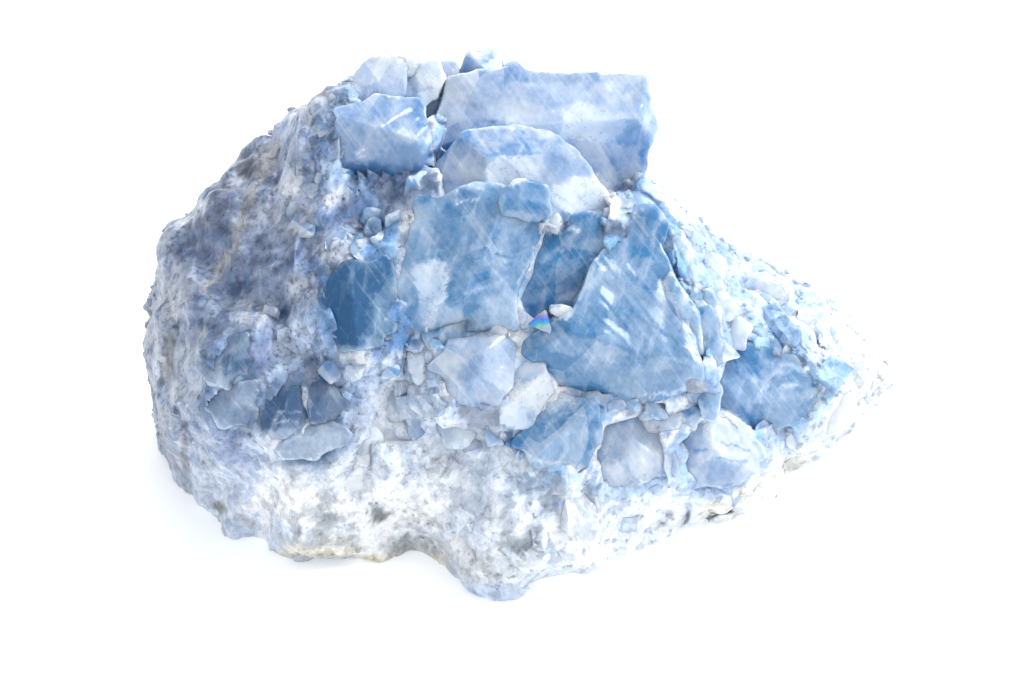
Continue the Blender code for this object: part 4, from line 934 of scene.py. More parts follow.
def groundColour(points, normals):
    # A body colour, blended in turn with each zone's colour by a soft oval, with the nearest
    # crystal's, with the marks' and with the rind's where the rock faces away from the crystals.
    g = ground
    spot = toSlope(points)
    facing = normals @ slopeAxes[2]
    ahead = smoothStep(*g["slopeFacing"], facing)
    colour = np.tile(linear(g["body"]), (len(points), 1))
    wavelength, reach = g["zoneWander"]
    wander = np.stack([waveNoise(points, wavelength, 90 + k) for k in range(2)], axis=1) * reach
    for across, uphill, wide, high, hexColour, strength in groundZones.values():
        off = (spot[:, :2] + wander - (across, uphill)) / (wide, high)
        near = strength * smoothStep(*g["zoneEdge"], np.linalg.norm(off, axis=1))[:, None]
        colour += (linear(hexColour) - colour) * near
    near, own = nearCrystals(spot)
    close = np.exp(-near / g["rootReach"]) * ahead
    colour += (own - colour) * np.minimum(g["rootStrength"] * close, 1.0)[:, None]
    dark, pale = linear(g["dark"]), linear(g["pale"])
    for cover, light, milky in marksOn(points):
        if isinstance(light, str):
            own = linear(light)
        else:
            own = dark + (pale - dark) * max(light, 0)
            own = own + (1 - own) * g["milk"] * milky
        colour += (own - colour) * (cover * ahead)[:, None]
    right, left = g["rindShare"]
    share = right + (1 - right) * smoothStep(*g["rindAcross"], spot[:, 0])
    rind = smoothStep(*g["rindFacing"], facing) * share
    colour += (linear(g["rind"]) - colour) * (left * rind)[:, None]
    return colour


def dullness(points, normals):
    # How far the stone looks like rind, from 0 on the glassy right to 1 on the left and behind.
    g = ground
    spot = toSlope(points)
    facing = normals @ slopeAxes[2]
    level, rise, soft = g["bandUphill"]
    edge = level + rise * smoothStep(*g["bandAcross"], spot[:, 0])
    white = smoothStep(edge, edge - soft, spot[:, 1]) * smoothStep(*g["bandFacing"], facing)
    left = smoothStep(*g["dullAcross"], spot[:, 0]) * (1 - g["bandWhite"] * white)
    behind = smoothStep(*g["rindFacing"], facing) * smoothStep(*g["dullBehind"], spot[:, 0])
    return np.maximum(left, g["rindShare"][1] * behind)


def blockRelief(points):
    # The blocks' heights at each size, summed, and their tones, averaged.
    relief, tones = np.zeros(len(points)), np.zeros(len(points))
    for size, seed, strength in rock["blocks"]:
        height, tone = druseRelief(points, size, seed)
        relief += strength * rock["blockHeight"] * size * height
        tones += tone / len(rock["blocks"])
    return relief, tones


# The crystals' own shapes, in mm on the slope: the corners of the end as (across, uphill), how
# far out it stands, how deep it is rooted, the drift of growth for each mm outwards, and the
# end faces as tilt to the right and uphill in degrees and a spot at full height.
# Shades, one for each end face from dark to light, paint partly how the light falls on each face and partly
# the body's own blue.
clusters = {
    "back_crystals": {
        "slab": dict(
            corners=((-11, 33), (-8.4, 42.4), (-2.5, 43.2), (13.6, 42.6), (14.8, 37), (13, 29.5),
                     (1.5, 28), (-9.5, 29)),
            out=17.0, depth=11.0, drift=(0.05, -0.05), kind="pale", frost=0.12, bank=5.0,
            faces=((2, 18, 2, 37.5), (6, -36, 2, 37), (50, 2, 12.2, 37), (-10, 10, -5, 37)),
            shades=(0.62, 0.15, 0.45, 0.5), spots=((6.4, 37.4, 4.5, 2.2, 0.7), (0, 33, 4, 2, 0.4)),
        ),
        "knob": dict(
            corners=((-7.2, 43), (-5, 45.6), (-3, 45.2), (-2.3, 42), (-3, 37), (-7, 37)),
            out=13.5, depth=9.0, drift=(0.0, 0.05), kind="pale", frost=0.3, bank=5.0,
            faces=((20, 30, -4.5, 43.5), (-25, -6, -5, 43.5)),
        ),
        "shoulder": dict(
            corners=((-13.5, 40), (-11.5, 43.8), (-7.5, 43.6), (-6.5, 38), (-12, 36)),
            out=14.0, depth=10.0, drift=(0.0, 0.05), kind="pale", frost=0.4, bank=5.0,
            faces=((-18, 25, -10, 41), (16, -20, -10, 41)),
        ),
    },
    "upper_left_crystals": {
        "block": dict(
            corners=((-21, 37), (-16.5, 40.5), (-11, 40), (-10.6, 35.5), (-13, 31), (-20.5, 31.5)),
            out=25.5, depth=14.0, drift=(0.05, 0.1), kind="pale", frost=0.1,
            faces=((12, 34, -16, 36.5), (-8, -28, -16, 36.5), (42, 0, -12, 36)),
            # The block's spot is a painted highlight: white frost where the light glints on its face.
            shades=(0.35, 0.1, 0.3), spots=((-11.5, 36, 1.6, 1.4, 0.9),),
        ),
        "cap": dict(
            corners=((-20, 41.5), (-17.2, 44.8), (-14, 44.6), (-13.2, 40), (-18, 38)),
            out=20.5, depth=10.0, drift=(0.0, 0.1), kind="pale", frost=0.4, bank=3.0,
            faces=((-14, 32, -16, 42), (15, -15, -16, 42)),
        ),
    },
    "crown_crystal": {
        "crown": dict(
            corners=((-10, 32.5), (-6, 36.8), (-0.5, 37.3), (4, 36), (9, 30.2), (10.6, 27.4),
                     (4, 25), (-9.5, 26.5)),
            out=25.5, depth=14.0, drift=(0.05, 0.15), kind="pale", frost=0.12,
            faces=((2, 44, 0, 33.5), (4, 4, 0, 33.5), (30, -8, 4, 31), (-34, 6, -5, 31)),
            shades=(-0.1, 0.55, 0.75, 0.4), spots=((-1.6, 31.4, 3, 2, 0.8), (7.3, 30.0, 3.2, 4.2, 1.0)),
        ),
    },
    "main_crystals": {
        "block": dict(
            corners=((-14, 21.5), (-11.3, 28), (-5.5, 30.3), (1.5, 29.7), (2.4, 26), (-0.3, 20),
                     (-1, 15), (-8, 13.8), (-13, 15)),
            out=28.5, depth=16.0, drift=(0.05, 0.0), kind="blue", frost=0.03,
            faces=((-9, 8, -6, 22), (12, -2, -4, 22), (-2, -26, -5, 17), (4, 40, -4, 28.2)),
            shades=(0.42, 0.5, 0.2, 0.6), spots=((-10.3, 19.2, 1.7, 4.0, 0.75), (-3, 22, 1.5, 3, 0.3)),
        ),
        "step": dict(
            corners=((-2.8, 28.4), (-1, 30.6), (2.6, 30.2), (2.9, 27), (1, 26.4), (-2.5, 27)),
            out=29.0, depth=8.0, drift=(0.0, 0.0), kind="blue", frost=0.1,
            faces=((6, 10, 0, 28.5), (0, -24, 0, 27.8)),
        ),
        "wedge": dict(
            corners=((8, 22.5), (13, 27), (15.6, 23), (19.4, 10), (12.5, 6.4), (3.5, 8),
                     (-0.5, 13), (5.2, 16.5)),
            out=29.5, depth=18.0, drift=(0.05, 0.05), kind="blue", frost=0.02,
            shades=(0.42, 0.15, 0.3, 0.6), spots=((12, 17, 3.5, 3, 0.15),),
            faces=((8, 18, 12.3, 12.2), (-9.5, -36, 12.3, 12.2), (-34, 4, 4.5, 14.5),
                   (46, 10, 17.4, 13)),
        ),
        "recess": dict(
            corners=((-1.2, 17), (1.8, 26.2), (8.2, 27.6), (9.7, 23), (6.5, 16), (0.5, 14.5)),
            out=25.5, depth=12.0, drift=(0.0, 0.0), kind="blue", frost=0.0, shades=(0.25, 0.35),
            faces=((-12, 16, 4, 22), (6, -16, 4, 20.5)),
        ),
        "side": dict(
            corners=((12, 28.2), (15.2, 26.8), (16.6, 22), (20.6, 13), (19, 9.6), (13, 17)),
            out=23.5, depth=12.0, drift=(0.05, 0.05), kind="blue", frost=0.0,
            faces=((26, 8, 16, 20), (0, 22, 16, 21)),
        ),
        "round": dict(
            corners=((-9.6, 10), (-8, 13.6), (-4.5, 14.7), (-1.5, 13), (-1.3, 8.5), (-4, 5.8),
                     (-7.5, 6.4)),
            out=28.5, depth=14.0, drift=(0.0, 0.0), kind="pale", frost=0.15, shades=(0.6, 0.8, 0.5, 0.7),
            faces=((-12, 10, -5.5, 10.5), (26, 8, -4, 10.5), (2, -30, -5, 8.5), (-6, 40, -6, 12)),
        ),
        "low_left": dict(
            corners=((-11.3, 14.4), (-8.5, 18), (-4.6, 18), (-2.7, 15), (-5, 12.6), (-9, 12)),
            out=27.5, depth=12.0, drift=(0.0, 0.0), kind="blue", frost=0.0,
            faces=((-14, 24, -7, 15.5), (10, -24, -7, 15.2)),
        ),
        "frosted": dict(
            corners=((-2.7, 8.5), (-0.5, 11.8), (2.2, 11.2), (2.8, 7.5), (0.5, 3.8), (-2.2, 4.8)),
            out=27.5, depth=12.0, drift=(0.0, 0.0), kind="clear", frost=0.45,
            faces=((-18, 18, 0, 8), (16, -20, 0, 8)),
        ),
    },
    "right_crystal": {
        "wedge": dict(
            corners=((19.6, 9.6), (21.5, 12.6), (25, 13.1), (30, 11.6), (33.3, 7.6), (30.5, 4),
                     (25, 2.5), (20.2, 5.5)),
            out=17.5, depth=12.0, drift=(0.1, -0.05), kind="blue", frost=0.05,
            shades=(0.4, 0.35, 0.4), spots=((27, 9.5, 3, 1.6, 0.35), (29, 8, 0.7, 2.2, 0.5)),
            faces=((0, 22, 28, 7.1), (9.6, -32, 28, 7.1), (-30, 0, 23, 7)),
        ),
    },
    "front_crystals": {
        "right": dict(
            corners=((16, 2.3), (18, 5), (22.5, 5.6), (25.4, 3), (26, -0.8), (23, -3), (18, -2.8)),
            out=21.0, depth=12.0, drift=(0.15, -0.05), kind="pale", frost=0.1,
            faces=((-24, 12, 20, 2), (22, 14, 21, 2), (4, -26, 21, 0), (0, 44, 20.5, 4)),
        ),
        "middle": dict(
            corners=((7, 1), (8, 4.6), (12.5, 5.6), (15.6, 3.6), (16.4, -1), (11.5, -3), (8, -2.5)),
            out=24.5, depth=13.0, drift=(0.05, -0.05), kind="pale", frost=0.1,
            faces=((-20, 16, 11, 1.5), (20, 14, 12, 1.5), (2, -26, 11.5, 0)),
        ),
        "left": dict(
            corners=((-0.7, 2.4), (2, 7.2), (7, 6.7), (8.7, 2.5), (6.5, -0.2), (1, -0.7)),
            out=27.0, depth=13.0, drift=(0.0, -0.05), kind="blue", frost=0.03, shades=(0.55, 0.3),
            faces=((-16, 18, 4, 3.2), (16, -16, 4, 3.2)),
        ),
        "sliver": dict(
            corners=((12, 6.6), (15.6, 7.2), (16.6, 4), (13.2, 3.2)),
            out=25.5, depth=12.0, drift=(0.0, 0.0), kind="clear", frost=0.3,
            faces=((14, 18, 14, 5), (-16, -10, 14, 5)),
        ),
    },
    "deep_crystal": {
        "deep": dict(
            corners=((-22.5, 18.5), (-20, 22.2), (-14.8, 21.5), (-14.3, 16.5), (-15.3, 12.5),
                     (-20, 12)),
            out=29.5, depth=14.0, drift=(-0.05, 0.0), kind="deep", frost=0.0, shades=(0.0, 0.2),
            faces=((-26, 6, -18.5, 17), (14, 10, -18.5, 17)),
        ),
    },
    "left_crystals": {
        "dark": dict(
            corners=((-28.5, 6.3), (-26.6, 9), (-24, 9.2), (-22.8, 5), (-26, 2.8), (-28, 4)),
            out=27.0, depth=11.0, drift=(-0.1, 0.0), kind="slate", frost=0.12, shades=(-0.1, 0.1),
            faces=((-22, 16, -26, 6), (18, 4, -26, 6)),
        ),
        "beside": dict(
            corners=((-23.6, 8.5), (-21.5, 9.8), (-19.8, 7.5), (-20.8, 4.2), (-23.4, 4.2)),
            out=27.0, depth=11.0, drift=(0.0, 0.05), kind="slate", frost=0.12, shades=(-0.1, 0.1),
            faces=((-14, 22, -22, 7), (18, -12, -22, 7)),
        ),
        "under": dict(
            corners=((-26, 2.3), (-23.5, 4.7), (-21, 5), (-19.4, 2.5), (-22.5, 0.2), (-25.6, 0.4)),
            out=27.0, depth=11.0, drift=(0.0, -0.05), kind="slate", frost=0.2, shades=(0.6, 0.7),
            faces=((-4, 30, -23, 2.8), (4, -24, -23, 2.8)),
        ),
    },
    "outer_left_crystals": {
        "upper": dict(
            corners=((-34.5, 11), (-32.5, 13.7), (-30, 14.2), (-28.9, 10.5), (-31.5, 8.2),
                     (-34, 8.6)),
            out=26.5, depth=11.0, drift=(-0.15, 0.0), kind="slate", frost=0.2,
            shades=(0.45, 0.3), faces=((-24, 20, -31.5, 11.5), (12, -4, -31.5, 11)),
        ),
        "lower": dict(
            corners=((-35.5, 6.5), (-33, 9.2), (-29, 8.7), (-29.3, 4.3), (-33, 3.8)),
            out=26.5, depth=11.0, drift=(-0.15, 0.0), kind="slate", frost=0.2,
            shades=(0.5, 0.35), faces=((-26, 10, -32, 6.5), (8, -14, -32, 6.5)),
        ),
    },
}

crystalDetail = {
    "spacing": 0.26,  # mm between points along the rim and across the end
    "around": (2.8, 40, 240),  # points for each step across it, least and most
    "endRings": (0.5, 6, 40),
    "wallRings": (1.25, 5, 20),  # rings for each mm down, least and most
    "bevelRings": 4,
    "chips": 1.6,  # mm between wider and narrower stretches of the bevel
    "cornerRound": 0.2,  # mm that a side edge is rounded over
    "ragged": ((3.2, 0.15), (1.3, 0.07)),  # mm wavelength and depth of the outline's unevenness
    "ridgeRound": 0.06,  # mm that the edge between two end faces is rounded over
    "bevel": (0.1, 0.28),  # mm, least and most, along the rim
    "steps": (1.9, 0.09),  # mm spacing and height of the growth steps across the end
    "stepEdge": (0.82, 1.0),  # share of a step over which it rises
    "stepWander": (5.0, 0.7),  # mm wavelength and reach
    "wave": (3.5, 0.05),  # mm wavelength and height of the faces' unevenness
    "striation": (0.5, 0.03),  # mm spacing and height of the lines along the side faces
    "striationStretch": 0.12,
    "rimWidth": 0.3,  # mm down the side faces that the rim's painted highlight reaches
    "paintedRimHighlight": ((0.22, 0.3), (0.6, 0.7)),  # painted highlights along the rim as white frost: mm wide and how milky, on large crystals and on small
    "subFacets": (4.5, 0.12),  # mm size of the low facets on the faces and their height share
    "meeting": (1.8, 2.8, 0.15),  # mm gap that closes, that stays open, and how far past half way
    "rootFrost": (-3.5, -9.0, 0.8),  # mm below the end between which the root goes milky, how much
    "patches": (4.0, 0.8),  # mm wavelength of the frost's unevenness and its share
    "rimPatches": 2.0,  # mm, wavelength of the breaks in the rim's painted highlight
    "spotEdge": (1.3, 0.5, 0.35),  # shares of a spot's size between which it fades, unevenness
    "shadeWave": (7.0, 0.1),  # mm wavelength and strength
    "sideShade": (-0.3, -2.5, 0.25),  # painted shade on the side faces: mm below the end between which it deepens, and how much
    "markShade": (0.1, 0.8, 0.9),  # shade of a mark at light 0, its range and the mark's share
    "markFrost": 0.6,
    "rootDepth": 0.55,  # share of the depth at which the rock shows through the crystal
}


def outlineOf(spec, count):
    # The end's corners joined by straight sides, as count points evenly spaced, the right way
    # round for faces that point outwards.
    corners = np.array(spec["corners"], float)
    after = np.roll(corners, -1, axis=0)
    if (corners[:, 0] * after[:, 1] - corners[:, 1] * after[:, 0]).sum() < 0:
        corners = corners[::-1]
    closed = np.vstack((corners, corners[:1]))
    run = np.concatenate(([0.0], np.cumsum(np.linalg.norm(np.diff(closed, axis=0), axis=1))))
    at = np.arange(count) * run[-1] / count
    return np.stack([np.interp(at, run, closed[:, k]) for k in (0, 1)], axis=1), run[-1] / count


def endHeight(spec, across, uphill, which=False):
    # Height over the end's level: the lowest of the end faces, each a plane through its spot,
    # blended where two meet: -w log(sum of exp(-h/w)). Or which face is the lowest.
    driftAcross, driftUphill = spec["drift"]
    heights = []
    for right, up, spotAcross, spotUphill in spec["faces"]:
        right, up = math.tan(math.radians(right)), math.tan(math.radians(up))
        reach = right * (across - spotAcross) + up * (uphill - spotUphill)
        heights.append(-reach / (1 + right * driftAcross + up * driftUphill))
    heights = np.stack(heights)
    if which:
        return heights.argmin(axis=0)
    lowest = heights.min(axis=0)
    w = crystalDetail["ridgeRound"]
    return lowest - w * np.log(np.exp(-(heights - lowest) / w).sum(axis=0))


def meetNeighbours(spec, centre, spoke):
    # Where another large crystal stands close beside this one, its side has grown out to just
    # past half way across the gap.
    spot = np.column_stack((centre + spoke, np.full(len(spoke), float(spec["out"]))))
    gap = np.full(len(spoke), farAway)
    for other in allCrystals:
        if other is not spec and "faces" in other and "grown" not in spec:
            share, reach = footprint(other, spot)
            gap = np.minimum(gap, np.maximum((share - 1) * reach, 0))
    nearest, farthest, past = crystalDetail["meeting"]
    step = (0.5 * gap + past) * smoothStep(farthest, nearest, gap)
    return spoke * (1 + step / np.linalg.norm(spoke, axis=1))[:, None]


def countFor(name, length):
    # Points or rings for a length, not under the least nor over the most.
    each, least, most = crystalDetail[name]
    return int(np.clip(each * length, least, most))


def crystalSurface(spec, seed):
    # The outline is carried along the growth line from the root to the rim, turns over a
    # small chipped bevel, and closes in rings over the end faces to the middle.
    d = crystalDetail
    rng = np.random.default_rng(seed)
    size = np.ptp(np.array(spec["corners"], float), axis=0)
    around = countFor("around", size.mean() / d["spacing"])
    endRings = countFor("endRings", size.mean() / d["spacing"])
    wallRings = countFor("wallRings", spec["depth"])
    outline, spacing = outlineOf(spec, around)
    half = max(1, round(d["cornerRound"] / spacing))
    outline = sum(np.roll(outline, k, axis=0) for k in range(-half, half + 1)) / (2 * half + 1)
    centre = outline.mean(axis=0)
    spoke = outline - centre
    place = np.concatenate((outline, np.zeros((around, 1))), axis=1)
    for order, (wavelength, deep) in enumerate(d["ragged"]):
        spoke = spoke * (1 + deep * waveNoise(place, wavelength, seed + 20 + order)
                         / np.linalg.norm(spoke, axis=1))[:, None]
    spoke = meetNeighbours(spec, centre, spoke)
    length = np.linalg.norm(spoke, axis=1)
    outline = centre + spoke
    rimHeight = endHeight(spec, outline[:, 0], outline[:, 1])
    chip = 0.5 + 0.5 * waveNoise(place, d["chips"], seed + 5)
    bevel = d["bevel"][0] + (d["bevel"][1] - d["bevel"][0]) * np.clip(chip, 0, 1) ** 2
    wall = np.linspace(0, 1, wallRings)[:, None]
    rise = -spec["depth"] + (rimHeight - bevel + spec["depth"]) * wall
    share = np.ones_like(rise)
    angle = np.linspace(0, math.pi / 2, d["bevelRings"] + 1)[1:, None]
    share = np.vstack((share, 1 - bevel * (1 - np.cos(angle)) / length))
    inner = 1 - bevel / length
    closing = inner * (1 - np.arange(1, endRings)[:, None] / endRings)
    share = np.vstack((share, closing))
    flat = centre + spoke * share[..., None]
    height = endHeight(spec, flat[..., 0], flat[..., 1])
    height[:wallRings] = rise
    height[wallRings:wallRings + d["bevelRings"]] -= bevel * (1 - np.sin(angle))
    # relief: growth steps across the end, unevenness all over, fine lines up the sides
    spot = np.concatenate((flat, height[..., None]), axis=-1).reshape(-1, 3)
    way = rng.uniform(0, math.pi)
    (wavelength, reach), (spacing, rising) = d["stepWander"], d["steps"]
    run = (spot[:, 0] * math.cos(way) + spot[:, 1] * math.sin(way)
           + reach * waveNoise(spot, wavelength, seed + 1)) / spacing
    stair = np.floor(run) + smoothStep(*d["stepEdge"], run - np.floor(run)) - run
    uneven = d["wave"][1] * waveNoise(spot, d["wave"][0], seed + 2)
    size, steep = d["subFacets"]
    uneven = uneven + size * steep * druseRelief(spot, size, seed + 8)[0]
    lines = np.stack((spot[:, 0], spot[:, 1], d["striationStretch"] * spot[:, 2]), axis=1)
    striation = d["striation"][1] * waveNoise(lines, d["striation"][0], seed + 3)
    shape = height.shape
    onEnd = (np.arange(shape[0]) >= wallRings)[:, None]
    height = height + onEnd * (rising * stair + uneven).reshape(shape)
    push = np.where(onEnd, 0.0, (uneven + striation).reshape(shape))
    flat = flat + (spoke / length[:, None]) * push[..., None]
    places = np.concatenate((flat, height[..., None]), axis=-1).reshape(-1, 3)
    middle = [[*centre, endHeight(spec, centre[0], centre[1])]]
    places = np.vstack((places, [[*centre, -spec["depth"]]], middle))
    # frost: the milky root, a painted highlight along the rim as patchy white frost, and the crystal's own
    # cloudiness
    rimWide, highlightMilk = d["paintedRimHighlight"]["grown" in spec]
    rim = np.exp(-((share - inner) * length / rimWide) ** 2) * (share <= 1.0)
    rim[:wallRings] = np.exp(-((rise - rimHeight) / d["rimWidth"]) ** 2)
    start, full, milky = d["rootFrost"]
    root = smoothStep(start, full, places[:, 2])
    wavelength, uneven = d["patches"]
    patch = waveNoise(places, wavelength, seed + 4)
    frost = spec["frost"] * (1 + uneven * patch) + milky * root
    # Where along the rim the painted highlight shows.
    worn = 0.5 + 0.5 * waveNoise(spot, d["rimPatches"], seed + 6).reshape(shape)
    frost[:-2] += highlightMilk * (rim * worn).ravel()
    start, full, uneven = d["spotEdge"]
    for across, uphill, wide, high, strength in spec.get("spots", ()):
        off = np.hypot((places[:, 0] - across) / wide, (places[:, 1] - uphill) / high)
        frost += strength * smoothStep(start, full, off + uneven * patch)
    # shade: each end face has its own, from dark to light, painted partly as the light on that face and
    # partly as the body's own blue; the side faces share a darker one, painted shade
    shades = np.array(spec.get("shades", rng.uniform(0.2, 0.7, len(spec["faces"]))))
    face = endHeight(spec, places[:, 0], places[:, 1], which=True)
    wavelength, strength = d["shadeWave"]
    shade = shades[face] + strength * waveNoise(places, wavelength, seed + 7)
    start, full, darker = d["sideShade"]
    end = np.append(endHeight(spec, flat[..., 0], flat[..., 1]).ravel(), (0.0, 0.0))
    shade -= darker * smoothStep(start, full, places[:, 2] - end)
    places[:, 0] += spec["drift"][0] * places[:, 2]
    places[:, 1] += spec["drift"][1] * places[:, 2]
    places[:, 2] += spec["out"]
    points = toWorld(places)
    least, lightRange, most = d["markShade"]
    for cover, light, milky in marksOn(points):
        if not isinstance(light, str):
            shade += (least + lightRange * light - shade) * most * cover
            frost += (d["markFrost"] * milky - frost) * cover
    return points, gridFaces(shape[0], around), np.clip(frost, 0, 1), shade


def footprint(spec, spot):
    # How far a place on the slope lies from a crystal's axis: 1 on its side faces.
    outline, _ = outlineOf(spec, 240)
    centre = outline.mean(axis=0)
    spoke = outline - centre
    angle = np.arctan2(spoke[:, 1], spoke[:, 0])
    order = np.argsort(angle)
    above = spot[:, 2:] - spec["out"]
    off = spot[:, :2] - above * spec["drift"] - centre
    reach = np.interp(np.arctan2(off[:, 1], off[:, 0]), angle[order],
                      np.linalg.norm(spoke, axis=1)[order], period=2 * math.pi)
    return np.linalg.norm(off, axis=1) / reach, reach


allCrystals = [spec for group in clusters.values() for spec in group.values()]


bank = {  # mm
    "drop": 0.35, "uneven": (2.2, 0.12), "slope": 0.3, "curve": 0.06, "steep": 0.04,
    "reach": 7.0, "below": 8.0, "blend": 0.7, "most": 20,
}
socket = {"overlap": (0.8, 0.55), "uneven": (2.6, 0.15), "soft": 0.4, "floor": (3.0, 0.9)}  # mm


def bankRock(points, normals):
    # Round each crystal the rock banks up towards its rim: the level falls with the distance d
    # from its side faces as slope d + curve d^2 + steep d^3, and the levels join by
    # w log(sum of exp(h/w)).
    spot = toSlope(points)
    w = bank["blend"]
    total = np.ones(len(points))
    start = spot[:, 2].copy()
    wavelength, deep = bank["uneven"]
    uneven = deep * waveNoise(points, wavelength, 34)
    for spec in allCrystals:
        share, reach = footprint(spec, spot)
        beside = np.maximum((share - 1) * reach, 0)
        centre = np.mean(spec["corners"], axis=0)
        rim = spot[:, :2] + (centre - spot[:, :2]) * (1 - 1 / np.maximum(share, 1))[:, None]
        level = spec["out"] + endHeight(spec, rim[:, 0], rim[:, 1]) - spec.get("bank", bank["drop"])
        level += uneven - beside * (bank["slope"] + bank["curve"] * beside + bank["steep"] * beside ** 2)
        near = (beside < bank["reach"]) & (start > spec["out"] - spec["depth"] - bank["below"])
        rise = np.clip((level - start) / w, -bank["most"], bank["most"])
        total += np.where(near, np.exp(rise), 0.0)
    spot[:, 2] += w * np.log(total) * smoothStep(0.0, 0.5, normals @ slopeAxes[2])
    return toWorld(spot)


def socketRock(points):
    # Under each crystal the rock drops to the root, so that light goes down into the blue. It
    # reaches in under the rim by a varying width.
    spot = toSlope(points)
    (overlap, least), (wavelength, varying) = socket["overlap"], socket["uneven"]
    overlap = np.maximum(overlap + varying * waveNoise(points, wavelength, 35), least)
    wavelength, uneven = socket["floor"]
    uneven = uneven * waveNoise(points, wavelength, 31)
    for spec in allCrystals:
        share, reach = footprint(spec, spot)
        inside = smoothStep(0.0, socket["soft"], (1 - share) * reach - overlap)
        floor = spec["out"] - crystalDetail["rootDepth"] * spec["depth"] + uneven
        over = np.maximum(spot[:, 2] - floor, 0) * (spot[:, 2] > spec["out"] - spec["depth"])
        spot[:, 2] -= inside * over
    return toWorld(spot)


def underCrystals(points):
    # True where a point of the rock lies within a crystal's side faces, near its root.
    spot = toSlope(points)
    hidden = np.zeros(len(points), bool)
    for spec in allCrystals:
        share, _ = footprint(spec, spot)
        hidden |= (share < 1.0) & (spot[:, 2] > spec["out"] - spec["depth"])
    return hidden


def gridNormals(points):
    # The cross product of the steps along and round the rock, pointing out of it.
    along = np.gradient(points, axis=0)
    round_ = np.roll(points, -1, axis=1) - np.roll(points, 1, axis=1)
    return unit(np.cross(round_, along))


def cutFoot(points):
    # A point below the floor slides back towards the rock's core line until it is level with
    # the floor, which leaves a flat foot: core + (p - core) h / (h - z), h the core's height.
    table = rock["sections"]
    core = np.stack((points[:, 0] * rock["coreShare"], np.interp(points[:, 0], table[:, 0], table[:, 1]),
                     np.interp(points[:, 0], table[:, 0], table[:, 2])), axis=-1)
    part = np.where(points[:, 2] < 0, core[:, 2] / (core[:, 2] - np.minimum(points[:, 2], 0)), 1.0)
    return core + (points - core) * part[:, None]


def makeRock():
    # The loft, with intergrown blocks of four sizes raised from it, banked up round the
    # crystals and dented under them, and with a foot that is cut flat at z = 0.
    part = np.linspace(0, 1, rock["rings"] + 2)[1:-1]
    part = rock["evenRings"] * part + (1 - rock["evenRings"]) * (1 - np.cos(np.pi * part)) / 2
    share = np.arccos(1 - 2 * part) / np.pi  # so that the rings are almost evenly spaced
    turn = np.arange(rock["around"]) * 2 * math.pi / rock["around"]
    turn = turn + rock["closer"][0] * np.sin(turn - rock["closer"][1])
    grid = rockPoints(*np.meshgrid(share, turn, indexing="ij"))
    normals = gridNormals(grid).reshape(-1, 3)
    points = grid.reshape(-1, 3)
    points = bankRock(points, normals)
    relief, tones = blockRelief(points)
    points = socketRock(points + normals * relief[:, None])
    spot = toSlope(points)
    spot[:, 1] += np.interp(spot[:, 0], *rock["skyline"]) * smoothStep(*rock["skylineFade"], spot[:, 1])
    points = toWorld(spot)
    points = np.vstack((points, rockPoints(np.array((0.0, 1.0)), np.zeros(2))))
    normals = np.vstack((normals, [[-1.0, 0, 0], [1.0, 0, 0]]))
    tones = np.append(tones, (0.5, 0.5))
    points = cutFoot(points)
    dull = dullness(points, normals)
    contrast = 1 + (rock["contrast"][0] + rock["contrast"][1] * dull) * (tones - 0.5)
    tone = groundColour(points, normals) * contrast[:, None] ** rock["tinge"]
    faces = [face[::-1] for face in gridFaces(rock["rings"], rock["around"])]
    addPiece("rock", points, faces, rockMaterial, "geode_rock", ["matrix"],
             {"tone": np.clip(tone, 0, 1), "dull": dull}, smooth=True)
    return points, normals


rockSurface, rockNormals = makeRock()

# Small crystals on the rock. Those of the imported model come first, in the same places.

crust = {
    "seed": 11,
    "sunk": 0.45,
    "spread": 0.28,
    "thickness": (0.6, 0.95),
    "height": (0.8, 1.15),
    "roof": (0.62, -0.7),
    "endBevel": (0.22, 0.9),
    "cornerCut": 0.48,
    "patches": [  # count, length along the rock, turn in half circles, width
        (34, (0.60, 0.84), (0.47, 1.0), (2.2, 3.6)),
        (10, (0.82, 0.90), (0.4, 1.1), (1.8, 2.8)),
        (30, (0.19, 0.46), (0.62, 0.98), (2.4, 4.4)),
        (14, (0.42, 0.70), (0.95, 1.08), (2.8, 4.2)),
    ],
}
smallCrystals = {
    "seed": 23,
    "patches": [
        (60, (0.12, 0.50), (0.50, 1.05), (1.0, 2.2)),
        (40, (0.40, 0.72), (0.93, 1.10), (1.0, 2.2)),
    ],
    "bevel": 0.12,
    "lowest": 1.5,  # mm over the floor
    "sunk": (0.5, 0.3),  # share of their height that they sink further, and more on the dull side
    "tested": 0.3,  # share of their height at which they must be clear of the large crystals
    "tones": (-0.14, 0.12),
    "tinge": (1.6, 1.0, 0.5),
    "clearOf": 0.9,  # mm to the side of the nearest large crystal
}


def crystalPlaces(patches, seed):
    # Spots scattered on the rock. Growth is the rock's normal with a random part added.
    rng = np.random.default_rng(seed)
    rows = []
    for count, length, turns, widths in patches:
        share = rng.uniform(*length, count)
        turn = rng.uniform(*turns, count) * math.pi
        spot, normal = rockFacing(share, turn)
        normal = unit(normal)
        growth = unit(normal + rng.normal(scale=crust["spread"], size=(count, 3)))
        side = unit(np.cross(growth, rng.normal(size=(count, 3))))
        width = rng.uniform(*widths, count)
        thick = width * rng.uniform(*crust["thickness"], count)
        height = width * rng.uniform(*crust["height"], count)
        rows.append(np.column_stack((spot, growth, side, width, thick, height, normal)))
    return np.vstack(rows)


